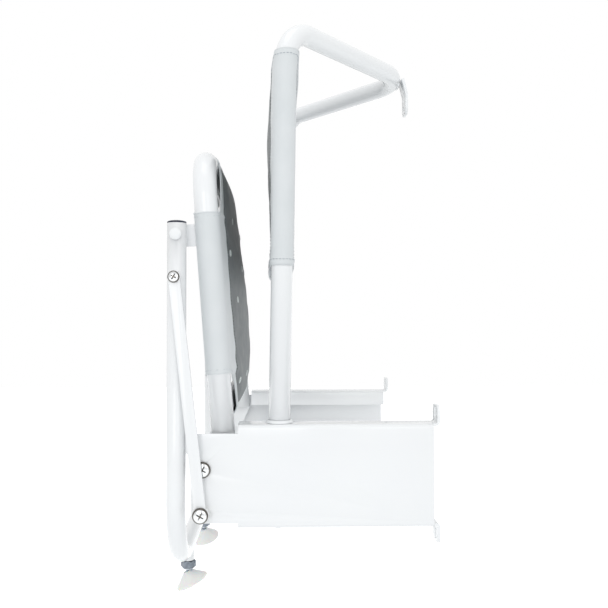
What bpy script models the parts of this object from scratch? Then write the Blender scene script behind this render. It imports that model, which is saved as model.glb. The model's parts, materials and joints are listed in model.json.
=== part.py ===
"""Wall-mounted folding shower seat, folded up against its wall frame.

X runs across the width, with the sitter's left at +X. The wall is the plane Y = 0 and the seat
opens towards -Y. Z is up. The origin is on the back of the wall plate, at mid-width. Every length
below is in metres, written as millimetres times MM.
"""
import math

import bmesh
import bpy
from mathutils import Vector

MM = 0.001

# Gaps that hold for the whole object.
TOUCH = 0.3 * MM            # between two pieces that rest on each other
HOLE_PLAY = 0.3 * MM        # round a bolt in its hole, on the radius
RUNNING_PLAY = 0.5 * MM     # between pieces that turn past each other

# How finely round shapes are divided.
TUBE_SIDES = 16
ROUND_SIDES = 12            # a multiple of six, so that a hexagon keeps its corners
DISC_STEPS = 24
BEND_STEP = math.radians(15)
SHEET_BEND_STEPS = 4
DOME_STEPS = 3
SMOOTH_BELOW = math.radians(35)

# Brackets: lipped channels of folded sheet, one on each side.
SHEET = 3.0 * MM
WEB_OUTER_X = 225.0 * MM
FLANGE_DEPTH = 38.0 * MM
LIP_DEPTH = 24.0 * MM
SHEET_BEND = 5.0 * MM       # outer radius of every fold
CHANNEL_TOP_Z = -444.5 * MM
CHANNEL_HEIGHT = 118.4 * MM
CHANNEL_FRONT_Y = -235.0 * MM
CHANNEL_REAR_Y = -8.0 * MM
WEB_NOTCH = 9.9 * MM        # how far the web's forward part lies below the flange
NOSE_HEIGHT = 21.6 * MM     # the stop that the folded leg rests against
NOSE_CHAMFER = 5.0 * MM
LOBE_RADIUS = 11.8 * MM     # round corner of the web about the strut's pivot
TAB_HEIGHT = 21.0 * MM
TAB_CORNER = 6.0 * MM
SLOT_WIDTH = 6.5 * MM
SLOT_LENGTH = 14.0 * MM

# Pivots, all with their axes along X. The four make a parallelogram.
HINGE_Y = -275.2 * MM
HINGE_Z = -495.5 * MM
STRUT_PIVOT_DROP = 49.3 * MM
STRUT_PIVOT_LEAD = 1.2 * MM
LEG_PIVOT_RISE = 270.1 * MM
LEG_PIVOT_LEAD = 31.0 * MM

# Back frame: one tube, two uprights and a horizontal V to the wall.
BACK_TUBE = 25.4 * MM
BACK_TUBE_WALL = 1.5 * MM
UPRIGHT_FOOT_Y = -188.9 * MM
UPRIGHT_LEAN = math.radians(0.87)
V_HEIGHT_Z = 26.0 * MM
V_TIP_RISE = 3.0 * MM       # the V climbs a little towards the wall
V_TIP_WALL_GAP = 9.8 * MM    # from the back of the tube to the wall
V_CORNER_BEND = 45.0 * MM
V_TIP_BEND = 60.0 * MM

# Wall plate behind the tip of the V.
PLATE_WIDTH = 30.0 * MM
PLATE_THICKNESS = 4.0 * MM
PLATE_BOTTOM_Z = -22.4 * MM
PLATE_PAD_TOP_Z = 7.0 * MM
PLATE_CORNER = 9.0 * MM
PLATE_BEND = 12.0 * MM
PLATE_HOLE = 6.5 * MM
PLATE_HOLE_Z = -12.0 * MM

# Where the uprights stand in the brackets.
COLLAR_DIAMETER = 30.6 * MM
COLLAR_HEIGHT = 3.5 * MM
COLLAR_CHAMFER = 1.2 * MM
PLUG_ROOF = 4.0 * MM
UPRIGHT_BOLT = 8.0 * MM
UPRIGHT_BOLT_DEPTH = 16.0 * MM
BUTTON_HEAD_DIAMETER = 14.0 * MM
BUTTON_HEAD_HEIGHT = 4.2 * MM

# Seat frame: one tube bent to a U, with the bar at the seat's front.
SEAT_TUBE = 28.0 * MM
SEAT_TUBE_WALL = 1.5 * MM
SEAT_LEAN = math.radians(4.43)
SEAT_OFFSET = 25.0 * MM     # from the hinge axis back to the tube's axis
SEAT_TUBE_START = 20.7 * MM
SEAT_REACH = 366.0 * MM     # from the hinge to the front bar, along the seat
SEAT_BEND = 55.0 * MM
REAR_BAR_TUBE = 22.0 * MM
REAR_BAR_WALL = 1.5 * MM
REAR_BAR_ALONG = 63.8 * MM

# Plates on the seat frame.
LUG_THICKNESS = 5.0 * MM
LUG_END_RADIUS = 13.0 * MM
LUG_SLOT_DEPTH = 19.0 * MM  # how far the lug reaches into the tube
LUG_SHOULDER = 3.0 * MM     # straight stretch of the lug's rear edge below the tube
LUG_HEEL_BACK = 21.0 * MM
TAB_THICKNESS = 4.0 * MM
LEG_TAB_RADIUS = 13.0 * MM
LEG_TAB_ROOT = 26.0 * MM

# Leg frame: one tube bent to a U, with the bar at the floor.
LEG_TUBE = 22.2 * MM
LEG_TUBE_WALL = 1.5 * MM
LEG_TOP_RISE = 13.5 * MM    # from the pin up to the tube's cut end
LEG_DROP = 385.6 * MM       # from the pin down to the bar's axis
LEG_BEND = 78.0 * MM
LEG_PLUG_DOME = 3.2 * MM

# Struts.
STRUT_WIDTH = 13.3 * MM
STRUT_THICKNESS = 4.0 * MM
STRUT_LOWER_RADIUS = 10.0 * MM
STRUT_UPPER_RADIUS = 8.0 * MM

# Fasteners of the pivots.
HINGE_BOLT = 8.0 * MM
HINGE_HEAD_DIAMETER = 18.6 * MM
HINGE_HEAD_HEIGHT = 4.2 * MM
STRUT_BOLT = 8.0 * MM
STRUT_HEAD_DIAMETER = 18.2 * MM
STRUT_HEAD_HEIGHT = 5.0 * MM
STRUT_SPACER_WALL = 3.5 * MM
LEG_PIN = 6.0 * MM
PIN_CAP_DIAMETER = 13.8 * MM
PIN_CAP_HEIGHT = 4.6 * MM
PIN_CAP_WALL = 1.2 * MM
PIN_HEAD_HEIGHT = 2.3 * MM
STRUT_SCREW = 6.0 * MM
SCREW_HEAD_DIAMETER = 13.6 * MM
SCREW_HEAD_HEIGHT = 4.0 * MM
STRUT_BUSH_LENGTH = 1.4 * MM  # between the strut and the leg
M8_NUT_FLATS = 13.0 * MM
M8_NUT_HEIGHT = 7.5 * MM
M6_NUT_FLATS = 10.0 * MM
M6_NUT_HEIGHT = 6.0 * MM
NUT_COLLAR_HEIGHT = 0.3     # the round collar of a lock nut, as a share of the nut's height
NUT_COLLAR_WIDTH = 0.94     # and as a share of its width across flats
DOME_RIM = 0.35             # upright rim of a domed head, as a share of its height
WASHER_THICKNESS = 1.6 * MM
HINGE_WASHER_DIAMETER = 17.0 * MM
BUSH_WALL = 3.0 * MM
BOLT_OVERHANG = 1.5 * MM    # thread that shows past a nut
RECESS_WIDTH = 1.3 * MM
RECESS_SPAN = 0.55          # cross recess, as a share of the head's diameter
RECESS_DEPTH = 1.8 * MM

# Feet: threaded stems with ball ends, in suction cups.
FOOT_X = 98.0 * MM
BOSS_DIAMETER = 15.0 * MM
BOSS_LENGTH = 15.5 * MM
STEM_THREAD = 10.0 * MM
STEM_TOP_RISE = 5.0 * MM    # above the bar's axis
FOOT_NUT_FLATS = 17.0 * MM
FOOT_NUT_HEIGHT = 9.0 * MM
FOOT_NUT_CHAMFER = 1.0 * MM
STEM_FLANGE = 14.0 * MM
STEM_FLANGE_THICKNESS = 1.6 * MM
STEM_NECK = 4.0 * MM
BALL_DIAMETER = 10.0 * MM
BALL_DROP = 6.8 * MM        # from the flange down to the ball's centre
CUP_RIM = 43.0 * MM
CUP_LIP = 2.4 * MM
CUP_LIP_CHAMFER = 0.8 * MM
CUP_SLOPE = math.radians(49)
CUP_TOP_RISE = 3.7 * MM     # from the ball's centre up to the cup's top
CUP_TOP_RADIUS = 5.6 * MM
CUP_HOLLOW_DROP = 7.6 * MM
CUP_THROAT_RISE = 2.0 * MM  # narrowest place of the socket
CUP_MOUTH_ANGLE = math.radians(28)
CUP_REST_TILT = {"left": math.radians(26), "right": math.radians(12)}
CUP_REST_ROLL = {"left": 0.0, "right": math.radians(16)}

# Covers of coated fabric, as plain hollow solids.
COVER_PLAY = 0.4 * MM
COVER_WALL = 1.5 * MM
BACK_COVER_BOTTOM_Z = -260.0 * MM
BACK_COVER_TOP_Z = -1.0 * MM
BACK_COVER_FRONT_BULGE = 8.0 * MM
BACK_COVER_REAR_BULGE = 5.0 * MM
SEAT_COVER_FRONT_BULGE = 4.0 * MM
SEAT_COVER_REAR_BULGE = 12.0 * MM
SLEEVE_START = 107.9 * MM   # where the sleeves on the side tubes start, along the seat
SLEEVE_PAST_TAB = 10.2 * MM  # the sleeves end this far beyond the leg tabs' slots
FRONT_SLEEVE_HALF = 137.0 * MM
REAR_SLEEVE_HALF = 150.0 * MM
COVER_STATIONS = 7
CROWN_STEPS = 6
END_STEPS = 6
BEND_STATIONS = 3
NOSE_STEPS = 4
BALL_STEPS = 7
NOSE_ANGLE = math.radians(88)  # where the cover's rounded end edges close
COVER_CUT_MARGIN = 12.0 * MM
BEND_SHARE = 0.9            # how much of the tube's bend a cover may follow
ANGLE_ROUNDS = 30           # of the search for the V's angle

SIDES = {"left": 1, "right": -1}


# Places worked out from the sizes above.
UPRIGHT_X = WEB_OUTER_X - FLANGE_DEPTH / 2
SEAT_X = UPRIGHT_X
LEG_X = SEAT_X + TAB_THICKNESS / 2 + RUNNING_PLAY + LEG_TUBE / 2
STRUT_INNER_X = LEG_X + LEG_TUBE / 2 + STRUT_BUSH_LENGTH
STRUT_OUTER_X = STRUT_INNER_X + STRUT_THICKNESS
CHANNEL_BOTTOM_Z = CHANNEL_TOP_Z - CHANNEL_HEIGHT
UPRIGHT_FOOT_Z = CHANNEL_BOTTOM_Z + SHEET + TOUCH
STRUT_PIVOT_Y = HINGE_Y - STRUT_PIVOT_LEAD
STRUT_PIVOT_Z = HINGE_Z - STRUT_PIVOT_DROP
LEG_PIVOT_Y = HINGE_Y - LEG_PIVOT_LEAD
LEG_PIVOT_Z = HINGE_Z + LEG_PIVOT_RISE
STRUT_TOP_Y = LEG_PIVOT_Y - STRUT_PIVOT_LEAD
STRUT_TOP_Z = LEG_PIVOT_Z - STRUT_PIVOT_DROP
LEG_BAR_Z = LEG_PIVOT_Z - LEG_DROP
BOSS_BOTTOM_Z = LEG_BAR_Z - LEG_TUBE / 2 - BOSS_LENGTH
FOOT_NUT_BOTTOM_Z = BOSS_BOTTOM_Z - TOUCH - FOOT_NUT_HEIGHT
STEM_FLANGE_BOTTOM_Z = FOOT_NUT_BOTTOM_Z - TOUCH - STEM_FLANGE_THICKNESS
BALL_Z = STEM_FLANGE_BOTTOM_Z - BALL_DROP


def upright_y(z):
    """Y of the uprights' axis at a height."""
    return UPRIGHT_FOOT_Y + (z - UPRIGHT_FOOT_Z) * math.tan(UPRIGHT_LEAN)


def v_angle():
    """The angle of the V's legs from the X axis that brings its rounded tip to its gap from the wall."""
    tip_y = -V_TIP_WALL_GAP - BACK_TUBE / 2
    angle = math.radians(45)
    for _ in range(ANGLE_ROUNDS):
        pulled_back = V_TIP_BEND * (1 / math.cos(angle) - 1)
        angle = math.atan2(tip_y + pulled_back - upright_y(V_HEIGHT_Z), UPRIGHT_X)
    return angle


V_ANGLE = v_angle()


def seat_point(x, along, behind):
    """A point given along the seat from the hinge, and behind the hinge at a right angle to it."""
    y = HINGE_Y - along * math.sin(SEAT_LEAN) + behind * math.cos(SEAT_LEAN)
    z = HINGE_Z + along * math.cos(SEAT_LEAN) + behind * math.sin(SEAT_LEAN)
    return Vector((x, y, z))


def seat_coordinates(y, z):
    """The same two measures, read back from a point's Y and Z."""
    dy = y - HINGE_Y
    dz = z - HINGE_Z
    along = -dy * math.sin(SEAT_LEAN) + dz * math.cos(SEAT_LEAN)
    behind = dy * math.cos(SEAT_LEAN) + dz * math.sin(SEAT_LEAN)
    return along, behind


def clear_scene():
    for old in list(bpy.data.objects):
        bpy.data.objects.remove(old, do_unlink=True)


def make_material(name, colour, roughness, metallic=0.0):
    material = bpy.data.materials.new(name)
    material.use_nodes = True
    shader = material.node_tree.nodes["Principled BSDF"]
    shader.inputs["Base Color"].default_value = (*colour, 1.0)
    shader.inputs["Roughness"].default_value = roughness
    shader.inputs["Metallic"].default_value = metallic
    return material


# Outlines: lists of 2D points.

def arc(centre, radius, start, end, steps):
    """Points on an arc, both ends included. Angles run from the first axis to the second."""
    points = []
    for i in range(steps + 1):
        angle = start + (end - start) * i / steps
        points.append((centre[0] + radius * math.cos(angle), centre[1] + radius * math.sin(angle)))
    return points


def cross(o, a, b):
    return (a[0] - o[0]) * (b[1] - o[1]) - (a[1] - o[1]) * (b[0] - o[0])


def wrapped_outline(discs, steps=DISC_STEPS):
    """The outline of a plate that just wraps round some discs, each (first, second, radius)."""
    points = set()
    for first, second, radius in discs:
        if radius == 0:
            points.add((first, second))
        else:
            points.update(arc((first, second), radius, 0, 2 * math.pi, steps)[:-1])
    ordered = sorted(points)
    outline = []
    for sweep in (ordered, ordered[::-1]):
        half = []
        for point in sweep:
            while len(half) > 1 and cross(half[-2], half[-1], point) <= 0:
                half.pop()
            half.append(point)
        outline += half[:-1]
    return outline


def filleted(points, radius, step=BEND_STEP, steps=None):
    """A path through the points, with an arc of the given radius at each inner corner."""
    points = [Vector(point) for point in points]
    radii = radius if isinstance(radius, (list, tuple)) else [radius] * (len(points) - 2)
    path = [points[0]]
    for before, corner, after, bend in zip(points, points[1:], points[2:], radii):
        to_before = (before - corner).normalized()
        to_after = (after - corner).normalized()
        half_angle = to_before.angle(to_after) / 2
        bisector = (to_before + to_after).normalized()
        centre = corner + bisector * bend / math.sin(half_angle)
        start = corner + to_before * bend / math.tan(half_angle) - centre
        end = corner + to_after * bend / math.tan(half_angle) - centre
        turn = math.pi - 2 * half_angle
        count = steps or max(2, math.ceil(turn / step))
        for i in range(count + 1):
            share = i / count
            blend = start * math.sin((1 - share) * turn) + end * math.sin(share * turn)
            path.append(centre + blend / math.sin(turn))
    path.append(points[-1])
    return path


def strip_outline(path, thickness):
    """The outline of a strip of even thickness whose middle runs along a 2D path."""
    left = []
    right = []
    for i, point in enumerate(path):
        before = path[max(i - 1, 0)]
        after = path[min(i + 1, len(path) - 1)]
        incoming = (point - before).normalized() if i > 0 else (after - point).normalized()
        outgoing = (after - point).normalized() if i < len(path) - 1 else incoming
        along = (incoming + outgoing).normalized()
        normal = Vector((-along.y, along.x)) / along.dot(incoming)
        left.append(point + normal * thickness / 2)
        right.append(point - normal * thickness / 2)
    return left + right[::-1]


# Solids: each function adds closed shapes to a bmesh.

def add_ring_sides(bm, ring_a, ring_b):
    count = len(ring_a)
    for i in range(count):
        j = (i + 1) % count
        bm.faces.new((ring_a[i], ring_a[j], ring_b[j], ring_b[i]))


def add_loft(bm, sections):
    """A solid through closed sections with equally many points, capped at both ends."""
    rings = [[bm.verts.new(point) for point in section] for section in sections]
    for ring_a, ring_b in zip(rings, rings[1:]):
        add_ring_sides(bm, ring_a, ring_b)
    bm.faces.new(rings[0][::-1])
    bm.faces.new(rings[-1])


def add_tube(bm, path, outer, inner, sides=TUBE_SIDES):
    """A hollow tube along a path, open at both ends. Its rings keep their twist along the path."""
    tangents = []
    for i in range(len(path)):
        before = path[max(i - 1, 0)]
        after = path[min(i + 1, len(path) - 1)]
        tangents.append((after - before).normalized())
    side = Vector((1, 0, 0)) if abs(tangents[0].x) < 0.9 else Vector((0, 1, 0))
    outer_rings = []
    inner_rings = []
    for point, tangent in zip(path, tangents):
        side = (side - tangent * side.dot(tangent)).normalized()
        other = tangent.cross(side)
        spokes = []
        for i in range(sides):
            angle = 2 * math.pi * i / sides
            spokes.append(side * math.cos(angle) + other * math.sin(angle))
        outer_rings.append([bm.verts.new(point + spoke * outer) for spoke in spokes])
        inner_rings.append([bm.verts.new(point + spoke * inner) for spoke in spokes])
    for ring_a, ring_b in zip(outer_rings, outer_rings[1:]):
        add_ring_sides(bm, ring_a, ring_b)
    for ring_a, ring_b in zip(inner_rings, inner_rings[1:]):
        add_ring_sides(bm, ring_b, ring_a)
    add_ring_sides(bm, inner_rings[0], outer_rings[0])
    add_ring_sides(bm, outer_rings[-1], inner_rings[-1])


def add_prism(bm, outline, low, high, place):
    """An outline extruded from low to high. place(first, second, depth) gives each point."""
    sections = []
    for depth in (low, high):
        sections.append([place(first, second, depth) for first, second in outline])
    add_loft(bm, sections)


def in_yz(y, z, x):
    return Vector((x, y, z))


def in_xz(x, z, y):
    return Vector((x, y, z))


def across_seat(along, behind, x):
    return seat_point(x, along, behind)


def add_turned(bm, profile, base, axis, sides=ROUND_SIDES):
    """A turned solid. The profile is a closed loop of (radius, height) along the axis from the base.

    A third value of "hex" makes that ring a hexagon, whose radius is half its width across flats.
    """
    axis = axis.normalized()
    side = Vector((0, 1, 0)) if abs(axis.y) < 0.9 else Vector((1, 0, 0))
    side = (side - axis * side.dot(axis)).normalized()
    other = axis.cross(side)
    rings = []
    for radius, height, *form in profile:
        centre = base + axis * height
        if radius == 0:
            rings.append([bm.verts.new(centre)])
            continue
        ring = []
        for i in range(sides):
            angle = 2 * math.pi * i / sides
            reach = radius
            if form:
                from_flat = (angle % (math.pi / 3)) - math.pi / 6
                reach = radius / math.cos(from_flat)
            spoke = side * math.cos(angle) + other * math.sin(angle)
            ring.append(bm.verts.new(centre + spoke * reach))
        rings.append(ring)
    for ring_a, ring_b in zip(rings, rings[1:] + rings[:1]):
        if len(ring_a) == 1 and len(ring_b) == 1:
            continue
        if len(ring_a) > 1 and len(ring_b) > 1:
            add_ring_sides(bm, ring_a, ring_b)
            continue
        tip = ring_a[0] if len(ring_a) == 1 else ring_b[0]
        ring = ring_b if len(ring_a) == 1 else ring_a
        for i in range(sides):
            bm.faces.new((ring[i], ring[(i + 1) % sides], tip))


def domed(radius, height, base_height, steps=DOME_STEPS):
    """Profile points of a domed head, from its rim up to its middle."""
    rim = height * DOME_RIM
    points = [(radius, base_height), (radius, base_height + rim)]
    for i in range(1, steps):
        angle = math.pi / 2 * i / steps
        points.append((radius * math.cos(angle), base_height + rim + (height - rim) * math.sin(angle)))
    points.append((0, base_height + height))
    return points


def bolt_profile(shank, shank_length, head, head_height):
    """A bolt whose head sits on height 0 and whose shank runs below it."""
    radius = shank / 2
    return [(0, -shank_length), (radius, -shank_length), (radius, 0)] + domed(head / 2, head_height, 0)


def ring_profile(inner, outer, start, end):
    return [(inner, start), (outer, start), (outer, end), (inner, end)]


def nut_profile(bore, flats, start, height):
    """A lock nut: a hexagon with a round collar on its far side."""
    collar_start = start + height * (1 - NUT_COLLAR_HEIGHT)
    collar = flats / 2 * NUT_COLLAR_WIDTH
    return [
        (bore, start), (flats / 2, start, "hex"), (flats / 2, collar_start, "hex"),
        (collar, collar_start), (collar, start + height), (bore, start + height),
    ]


# Objects.

def make_object(name, bm, material, origin=Vector((0, 0, 0)), parent=None, smooth=True):
    """Turns a bmesh in world coordinates into an object whose origin is at the given point."""
    bmesh.ops.recalc_face_normals(bm, faces=bm.faces[:])
    bmesh.ops.translate(bm, verts=bm.verts[:], vec=-origin)
    mesh = bpy.data.meshes.new(name)
    bm.to_mesh(mesh)
    bm.free()
    if smooth:
        mesh.shade_smooth()
        mesh.set_sharp_from_angle(angle=SMOOTH_BELOW)
    made = bpy.data.objects.new(name, mesh)
    bpy.context.scene.collection.objects.link(made)
    made.location = origin
    if material:
        mesh.materials.append(material)
    if parent:
        made.parent = parent
        made.location = origin - pivot_place(parent)
    return made


def pivot_place(empty):
    """World place of an empty, through its parents, none of which is turned."""
    place = empty.location.copy()
    while empty.parent:
        empty = empty.parent
        place += empty.location
    return place


def make_pivot(name, place, parent=None):
    empty = bpy.data.objects.new(name, None)
    empty.empty_display_size = 20 * MM
    bpy.context.scene.collection.objects.link(empty)
    empty.parent = parent
    empty.location = place - pivot_place(parent) if parent else place
    return empty


def combine(target, name, operation, bm):
    """Adds a live Boolean to the target. The bmesh is in world coordinates."""
    tool = make_object(name, bm, None, smooth=False)
    tool.hide_render = True
    tool.display_type = "WIRE"
    modifier = target.modifiers.new(name, "BOOLEAN")
    modifier.operation = operation
    modifier.solver = "EXACT"
    modifier.object = tool


def cut(target, name, bm):
    combine(target, name, "DIFFERENCE", bm)


def join(target, name, bm):
    combine(target, name, "UNION", bm)


def add_rod(bm, radius, base, axis, start, end, sides=ROUND_SIDES):
    """A plain rod for cutting. Its flats, not its corners, lie at the radius: no round is cut small."""
    corner = radius / math.cos(math.pi / sides)
    add_turned(bm, [(0, start), (corner, start), (corner, end), (0, end)], base, axis, sides)


def rounded_strip(bm, make_path, thickness, x_low, x_high, corner):
    """A bent strip across X. make_path(drop) gives its middle line with the end cut short by drop.

    The end's two corners are rounded, because the sections near them are shorter.
    """
    stations = []
    for i in range(SHEET_BEND_STEPS + 1):
        angle = math.pi / 2 * i / SHEET_BEND_STEPS
        stations.append((corner * (1 - math.cos(angle)), corner * (1 - math.sin(angle))))
    across = [(x_low + inset, drop) for inset, drop in stations]
    across += [(x_high - inset, drop) for inset, drop in reversed(stations)]
    sections = []
    for x, drop in across:
        outline = strip_outline(make_path(drop), thickness)
        sections.append([Vector((x, y, z)) for y, z in outline])
    add_loft(bm, sections)


# The wall frame.

def channel_section(side):
    """The bracket's lipped channel as an outline in (X, Z)."""
    half = SHEET / 2
    lip_x = WEB_OUTER_X - FLANGE_DEPTH + half
    web_x = WEB_OUTER_X - half
    top = CHANNEL_TOP_Z - half
    bottom = CHANNEL_BOTTOM_Z + half
    corners = [
        (lip_x, CHANNEL_TOP_Z - LIP_DEPTH), (lip_x, top), (web_x, top),
        (web_x, bottom), (lip_x, bottom), (lip_x, CHANNEL_BOTTOM_Z + LIP_DEPTH),
    ]
    path = filleted(corners, SHEET_BEND - half, steps=SHEET_BEND_STEPS)
    return [(side * x, z) for x, z in strip_outline(path, SHEET)]


def web_front_outline():
    """The web's forward part in (Y, Z): a nose above, and a lobe round the strut's pivot below."""
    back = CHANNEL_FRONT_Y + SHEET_BEND
    top = CHANNEL_TOP_Z - WEB_NOTCH
    nose = LEG_PIVOT_Y + LEG_TUBE / 2 + TOUCH
    front = STRUT_PIVOT_Y - LOBE_RADIUS
    nose_bottom = top - NOSE_HEIGHT
    lobe = arc((STRUT_PIVOT_Y, STRUT_PIVOT_Z), LOBE_RADIUS, math.pi, 1.5 * math.pi, END_STEPS)
    outline = [(back, top), (nose, top), (nose, nose_bottom), (front, nose_bottom - NOSE_CHAMFER)]
    return outline + lobe + [(back, STRUT_PIVOT_Z - LOBE_RADIUS)]


def add_wall_tab(bm, side, flange_z, turn):
    """A strip that follows the flange and turns up (1) or down (-1) against the wall."""
    half = SHEET / 2
    start = CHANNEL_REAR_Y - 2 * SHEET_BEND
    middle_z = flange_z - turn * half

    def tab_path(drop):
        end_z = flange_z + turn * (TAB_HEIGHT - drop)
        return filleted([(start, middle_z), (-half, middle_z), (-half, end_z)], SHEET_BEND - half,
                        steps=SHEET_BEND_STEPS)

    low = WEB_OUTER_X - FLANGE_DEPTH + SHEET_BEND
    high = WEB_OUTER_X - SHEET_BEND
    ends = sorted((side * low, side * high))
    rounded_strip(bm, tab_path, SHEET, *ends, TAB_CORNER)


def build_bracket(name, side, parent):
    material = MATERIALS["powder_coated_steel"]
    bm = bmesh.new()
    section = channel_section(side)
    add_prism(bm, section, CHANNEL_FRONT_Y, CHANNEL_REAR_Y, in_xz)
    bracket = make_object(name, bm, material, Vector((side * UPRIGHT_X, 0, CHANNEL_TOP_Z)), parent)

    bm = bmesh.new()
    add_prism(bm, web_front_outline(), side * (WEB_OUTER_X - SHEET), side * WEB_OUTER_X, in_yz)
    join(bracket, name + "_web_front", bm)
    for end, flange_z, turn in (("top", CHANNEL_TOP_Z, 1), ("bottom", CHANNEL_BOTTOM_Z, -1)):
        bm = bmesh.new()
        add_wall_tab(bm, side, flange_z, turn)
        join(bracket, name + "_" + end + "_tab", bm)

    bm = bmesh.new()
    across = Vector((side, 0, 0))
    for y, z, bolt in ((HINGE_Y, HINGE_Z, HINGE_BOLT), (STRUT_PIVOT_Y, STRUT_PIVOT_Z, STRUT_BOLT)):
        add_rod(bm, bolt / 2 + HOLE_PLAY, Vector((0, y, z)), across,
                WEB_OUTER_X - 2 * SHEET, WEB_OUTER_X + SHEET)
    up = Vector((0, 0, 1))
    top_hole = Vector((side * UPRIGHT_X, upright_y(CHANNEL_TOP_Z), CHANNEL_TOP_Z))
    add_rod(bm, BACK_TUBE / 2 + HOLE_PLAY, top_hole, up, -2 * SHEET, SHEET, TUBE_SIDES)
    bottom_hole = Vector((side * UPRIGHT_X, UPRIGHT_FOOT_Y, CHANNEL_BOTTOM_Z))
    add_rod(bm, UPRIGHT_BOLT / 2 + HOLE_PLAY, bottom_hole, up, -SHEET, 2 * SHEET)
    half_run = (SLOT_LENGTH - SLOT_WIDTH) / 2
    for z in tab_slot_heights():
        discs = [(side * UPRIGHT_X, z + shift, SLOT_WIDTH / 2) for shift in (-half_run, half_run)]
        add_prism(bm, wrapped_outline(discs, ROUND_SIDES), -2 * SHEET, SHEET, in_xz)
    cut(bracket, name + "_holes", bm)


def tab_slot_heights():
    """Heights of the two wall slots, in the middle of each tab's flat stretch."""
    flat_middle = (TAB_HEIGHT + SHEET_BEND - SHEET) / 2
    return CHANNEL_TOP_Z + flat_middle, CHANNEL_BOTTOM_Z - flat_middle


def back_frame_path():
    corner_y = upright_y(V_HEIGHT_Z)
    sharp_tip_y = corner_y + UPRIGHT_X * math.tan(V_ANGLE)
    corners = [
        (UPRIGHT_X, UPRIGHT_FOOT_Y, UPRIGHT_FOOT_Z),
        (UPRIGHT_X, corner_y, V_HEIGHT_Z),
        (0, sharp_tip_y, V_HEIGHT_Z + V_TIP_RISE),
        (-UPRIGHT_X, corner_y, V_HEIGHT_Z),
        (-UPRIGHT_X, UPRIGHT_FOOT_Y, UPRIGHT_FOOT_Z),
    ]
    return filleted(corners, [V_CORNER_BEND, V_TIP_BEND, V_CORNER_BEND])


def build_back_frame(parent):
    bm = bmesh.new()
    add_tube(bm, back_frame_path(), BACK_TUBE / 2, BACK_TUBE / 2 - BACK_TUBE_WALL)
    make_object("back_frame", bm, MATERIALS["powder_coated_steel"],
                Vector((0, UPRIGHT_FOOT_Y, V_HEIGHT_Z)), parent)


def build_wall_plate(parent):
    """A strap that lies flat on the wall below, and leans out to the back of the V's tip above."""
    half = PLATE_THICKNESS / 2
    top_y = -V_TIP_WALL_GAP + TOUCH + half

    def plate_path(drop):
        points = [(top_y, V_HEIGHT_Z + V_TIP_RISE), (-half, PLATE_PAD_TOP_Z), (-half, PLATE_BOTTOM_Z + drop)]
        return filleted(points, PLATE_BEND, steps=SHEET_BEND_STEPS)

    bm = bmesh.new()
    rounded_strip(bm, plate_path, PLATE_THICKNESS, -PLATE_WIDTH / 2, PLATE_WIDTH / 2, PLATE_CORNER)
    plate = make_object("wall_plate", bm, MATERIALS["powder_coated_steel"], parent=parent)
    bm = bmesh.new()
    add_rod(bm, PLATE_HOLE / 2, Vector((0, 0, PLATE_HOLE_Z)), Vector((0, 1, 0)),
            -2 * PLATE_THICKNESS, PLATE_THICKNESS)
    cut(plate, "wall_plate_hole", bm)


def build_upright_fittings(side_name, side, parent):
    """Collar, plug and bolt at an upright's lower end."""
    up = Vector((0, 0, 1))
    lean = Vector((0, math.sin(UPRIGHT_LEAN), math.cos(UPRIGHT_LEAN)))
    inner = BACK_TUBE / 2 + HOLE_PLAY
    outer = COLLAR_DIAMETER / 2
    plug = BACK_TUBE / 2 - BACK_TUBE_WALL - TOUCH
    bore = UPRIGHT_BOLT / 2 + RUNNING_PLAY
    bore_depth = UPRIGHT_BOLT_DEPTH + RUNNING_PLAY
    plug_length = bore_depth + PLUG_ROOF
    shank = SHEET + 2 * TOUCH + UPRIGHT_BOLT_DEPTH
    x = side * UPRIGHT_X
    collar = [(inner, 0), (outer, 0), (outer, COLLAR_HEIGHT - COLLAR_CHAMFER),
              (outer - COLLAR_CHAMFER, COLLAR_HEIGHT), (inner, COLLAR_HEIGHT)]
    build_turned(side_name + "_upright_collar", "white_plastic", collar,
                 Vector((x, upright_y(CHANNEL_TOP_Z), CHANNEL_TOP_Z + TOUCH)), up, parent, TUBE_SIDES)
    blind_plug = [(bore, 0), (plug, 0), (plug, plug_length), (0, plug_length), (0, bore_depth),
                  (bore, bore_depth)]
    build_turned(side_name + "_upright_plug", "black_plastic", blind_plug,
                 Vector((x, UPRIGHT_FOOT_Y, UPRIGHT_FOOT_Z)), lean, parent, TUBE_SIDES)
    build_turned(side_name + "_upright_bolt", "zinc_steel",
                 bolt_profile(UPRIGHT_BOLT, shank, BUTTON_HEAD_DIAMETER, BUTTON_HEAD_HEIGHT),
                 Vector((x, UPRIGHT_FOOT_Y, CHANNEL_BOTTOM_Z - TOUCH)), -up, parent)


# Fasteners along the pivots' axes.

def build_turned(name, material, profile, base, axis, parent, sides=ROUND_SIDES):
    """A turned piece as an object of its own, with its origin at the profile's height 0."""
    bm = bmesh.new()
    add_turned(bm, profile, base, axis, sides)
    return make_object(name, bm, MATERIALS[material], base, parent)


def build_pair(name, material, profile, x, y, z, parent):
    """A turned piece on each side, with its axis along X and height 0 at x, pointing outwards."""
    made = {}
    for side_name, side in SIDES.items():
        made[side] = build_turned(side_name + "_" + name, material, profile,
                                  Vector((side * x, y, z)), Vector((side, 0, 0)), parent)
    return made


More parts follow.
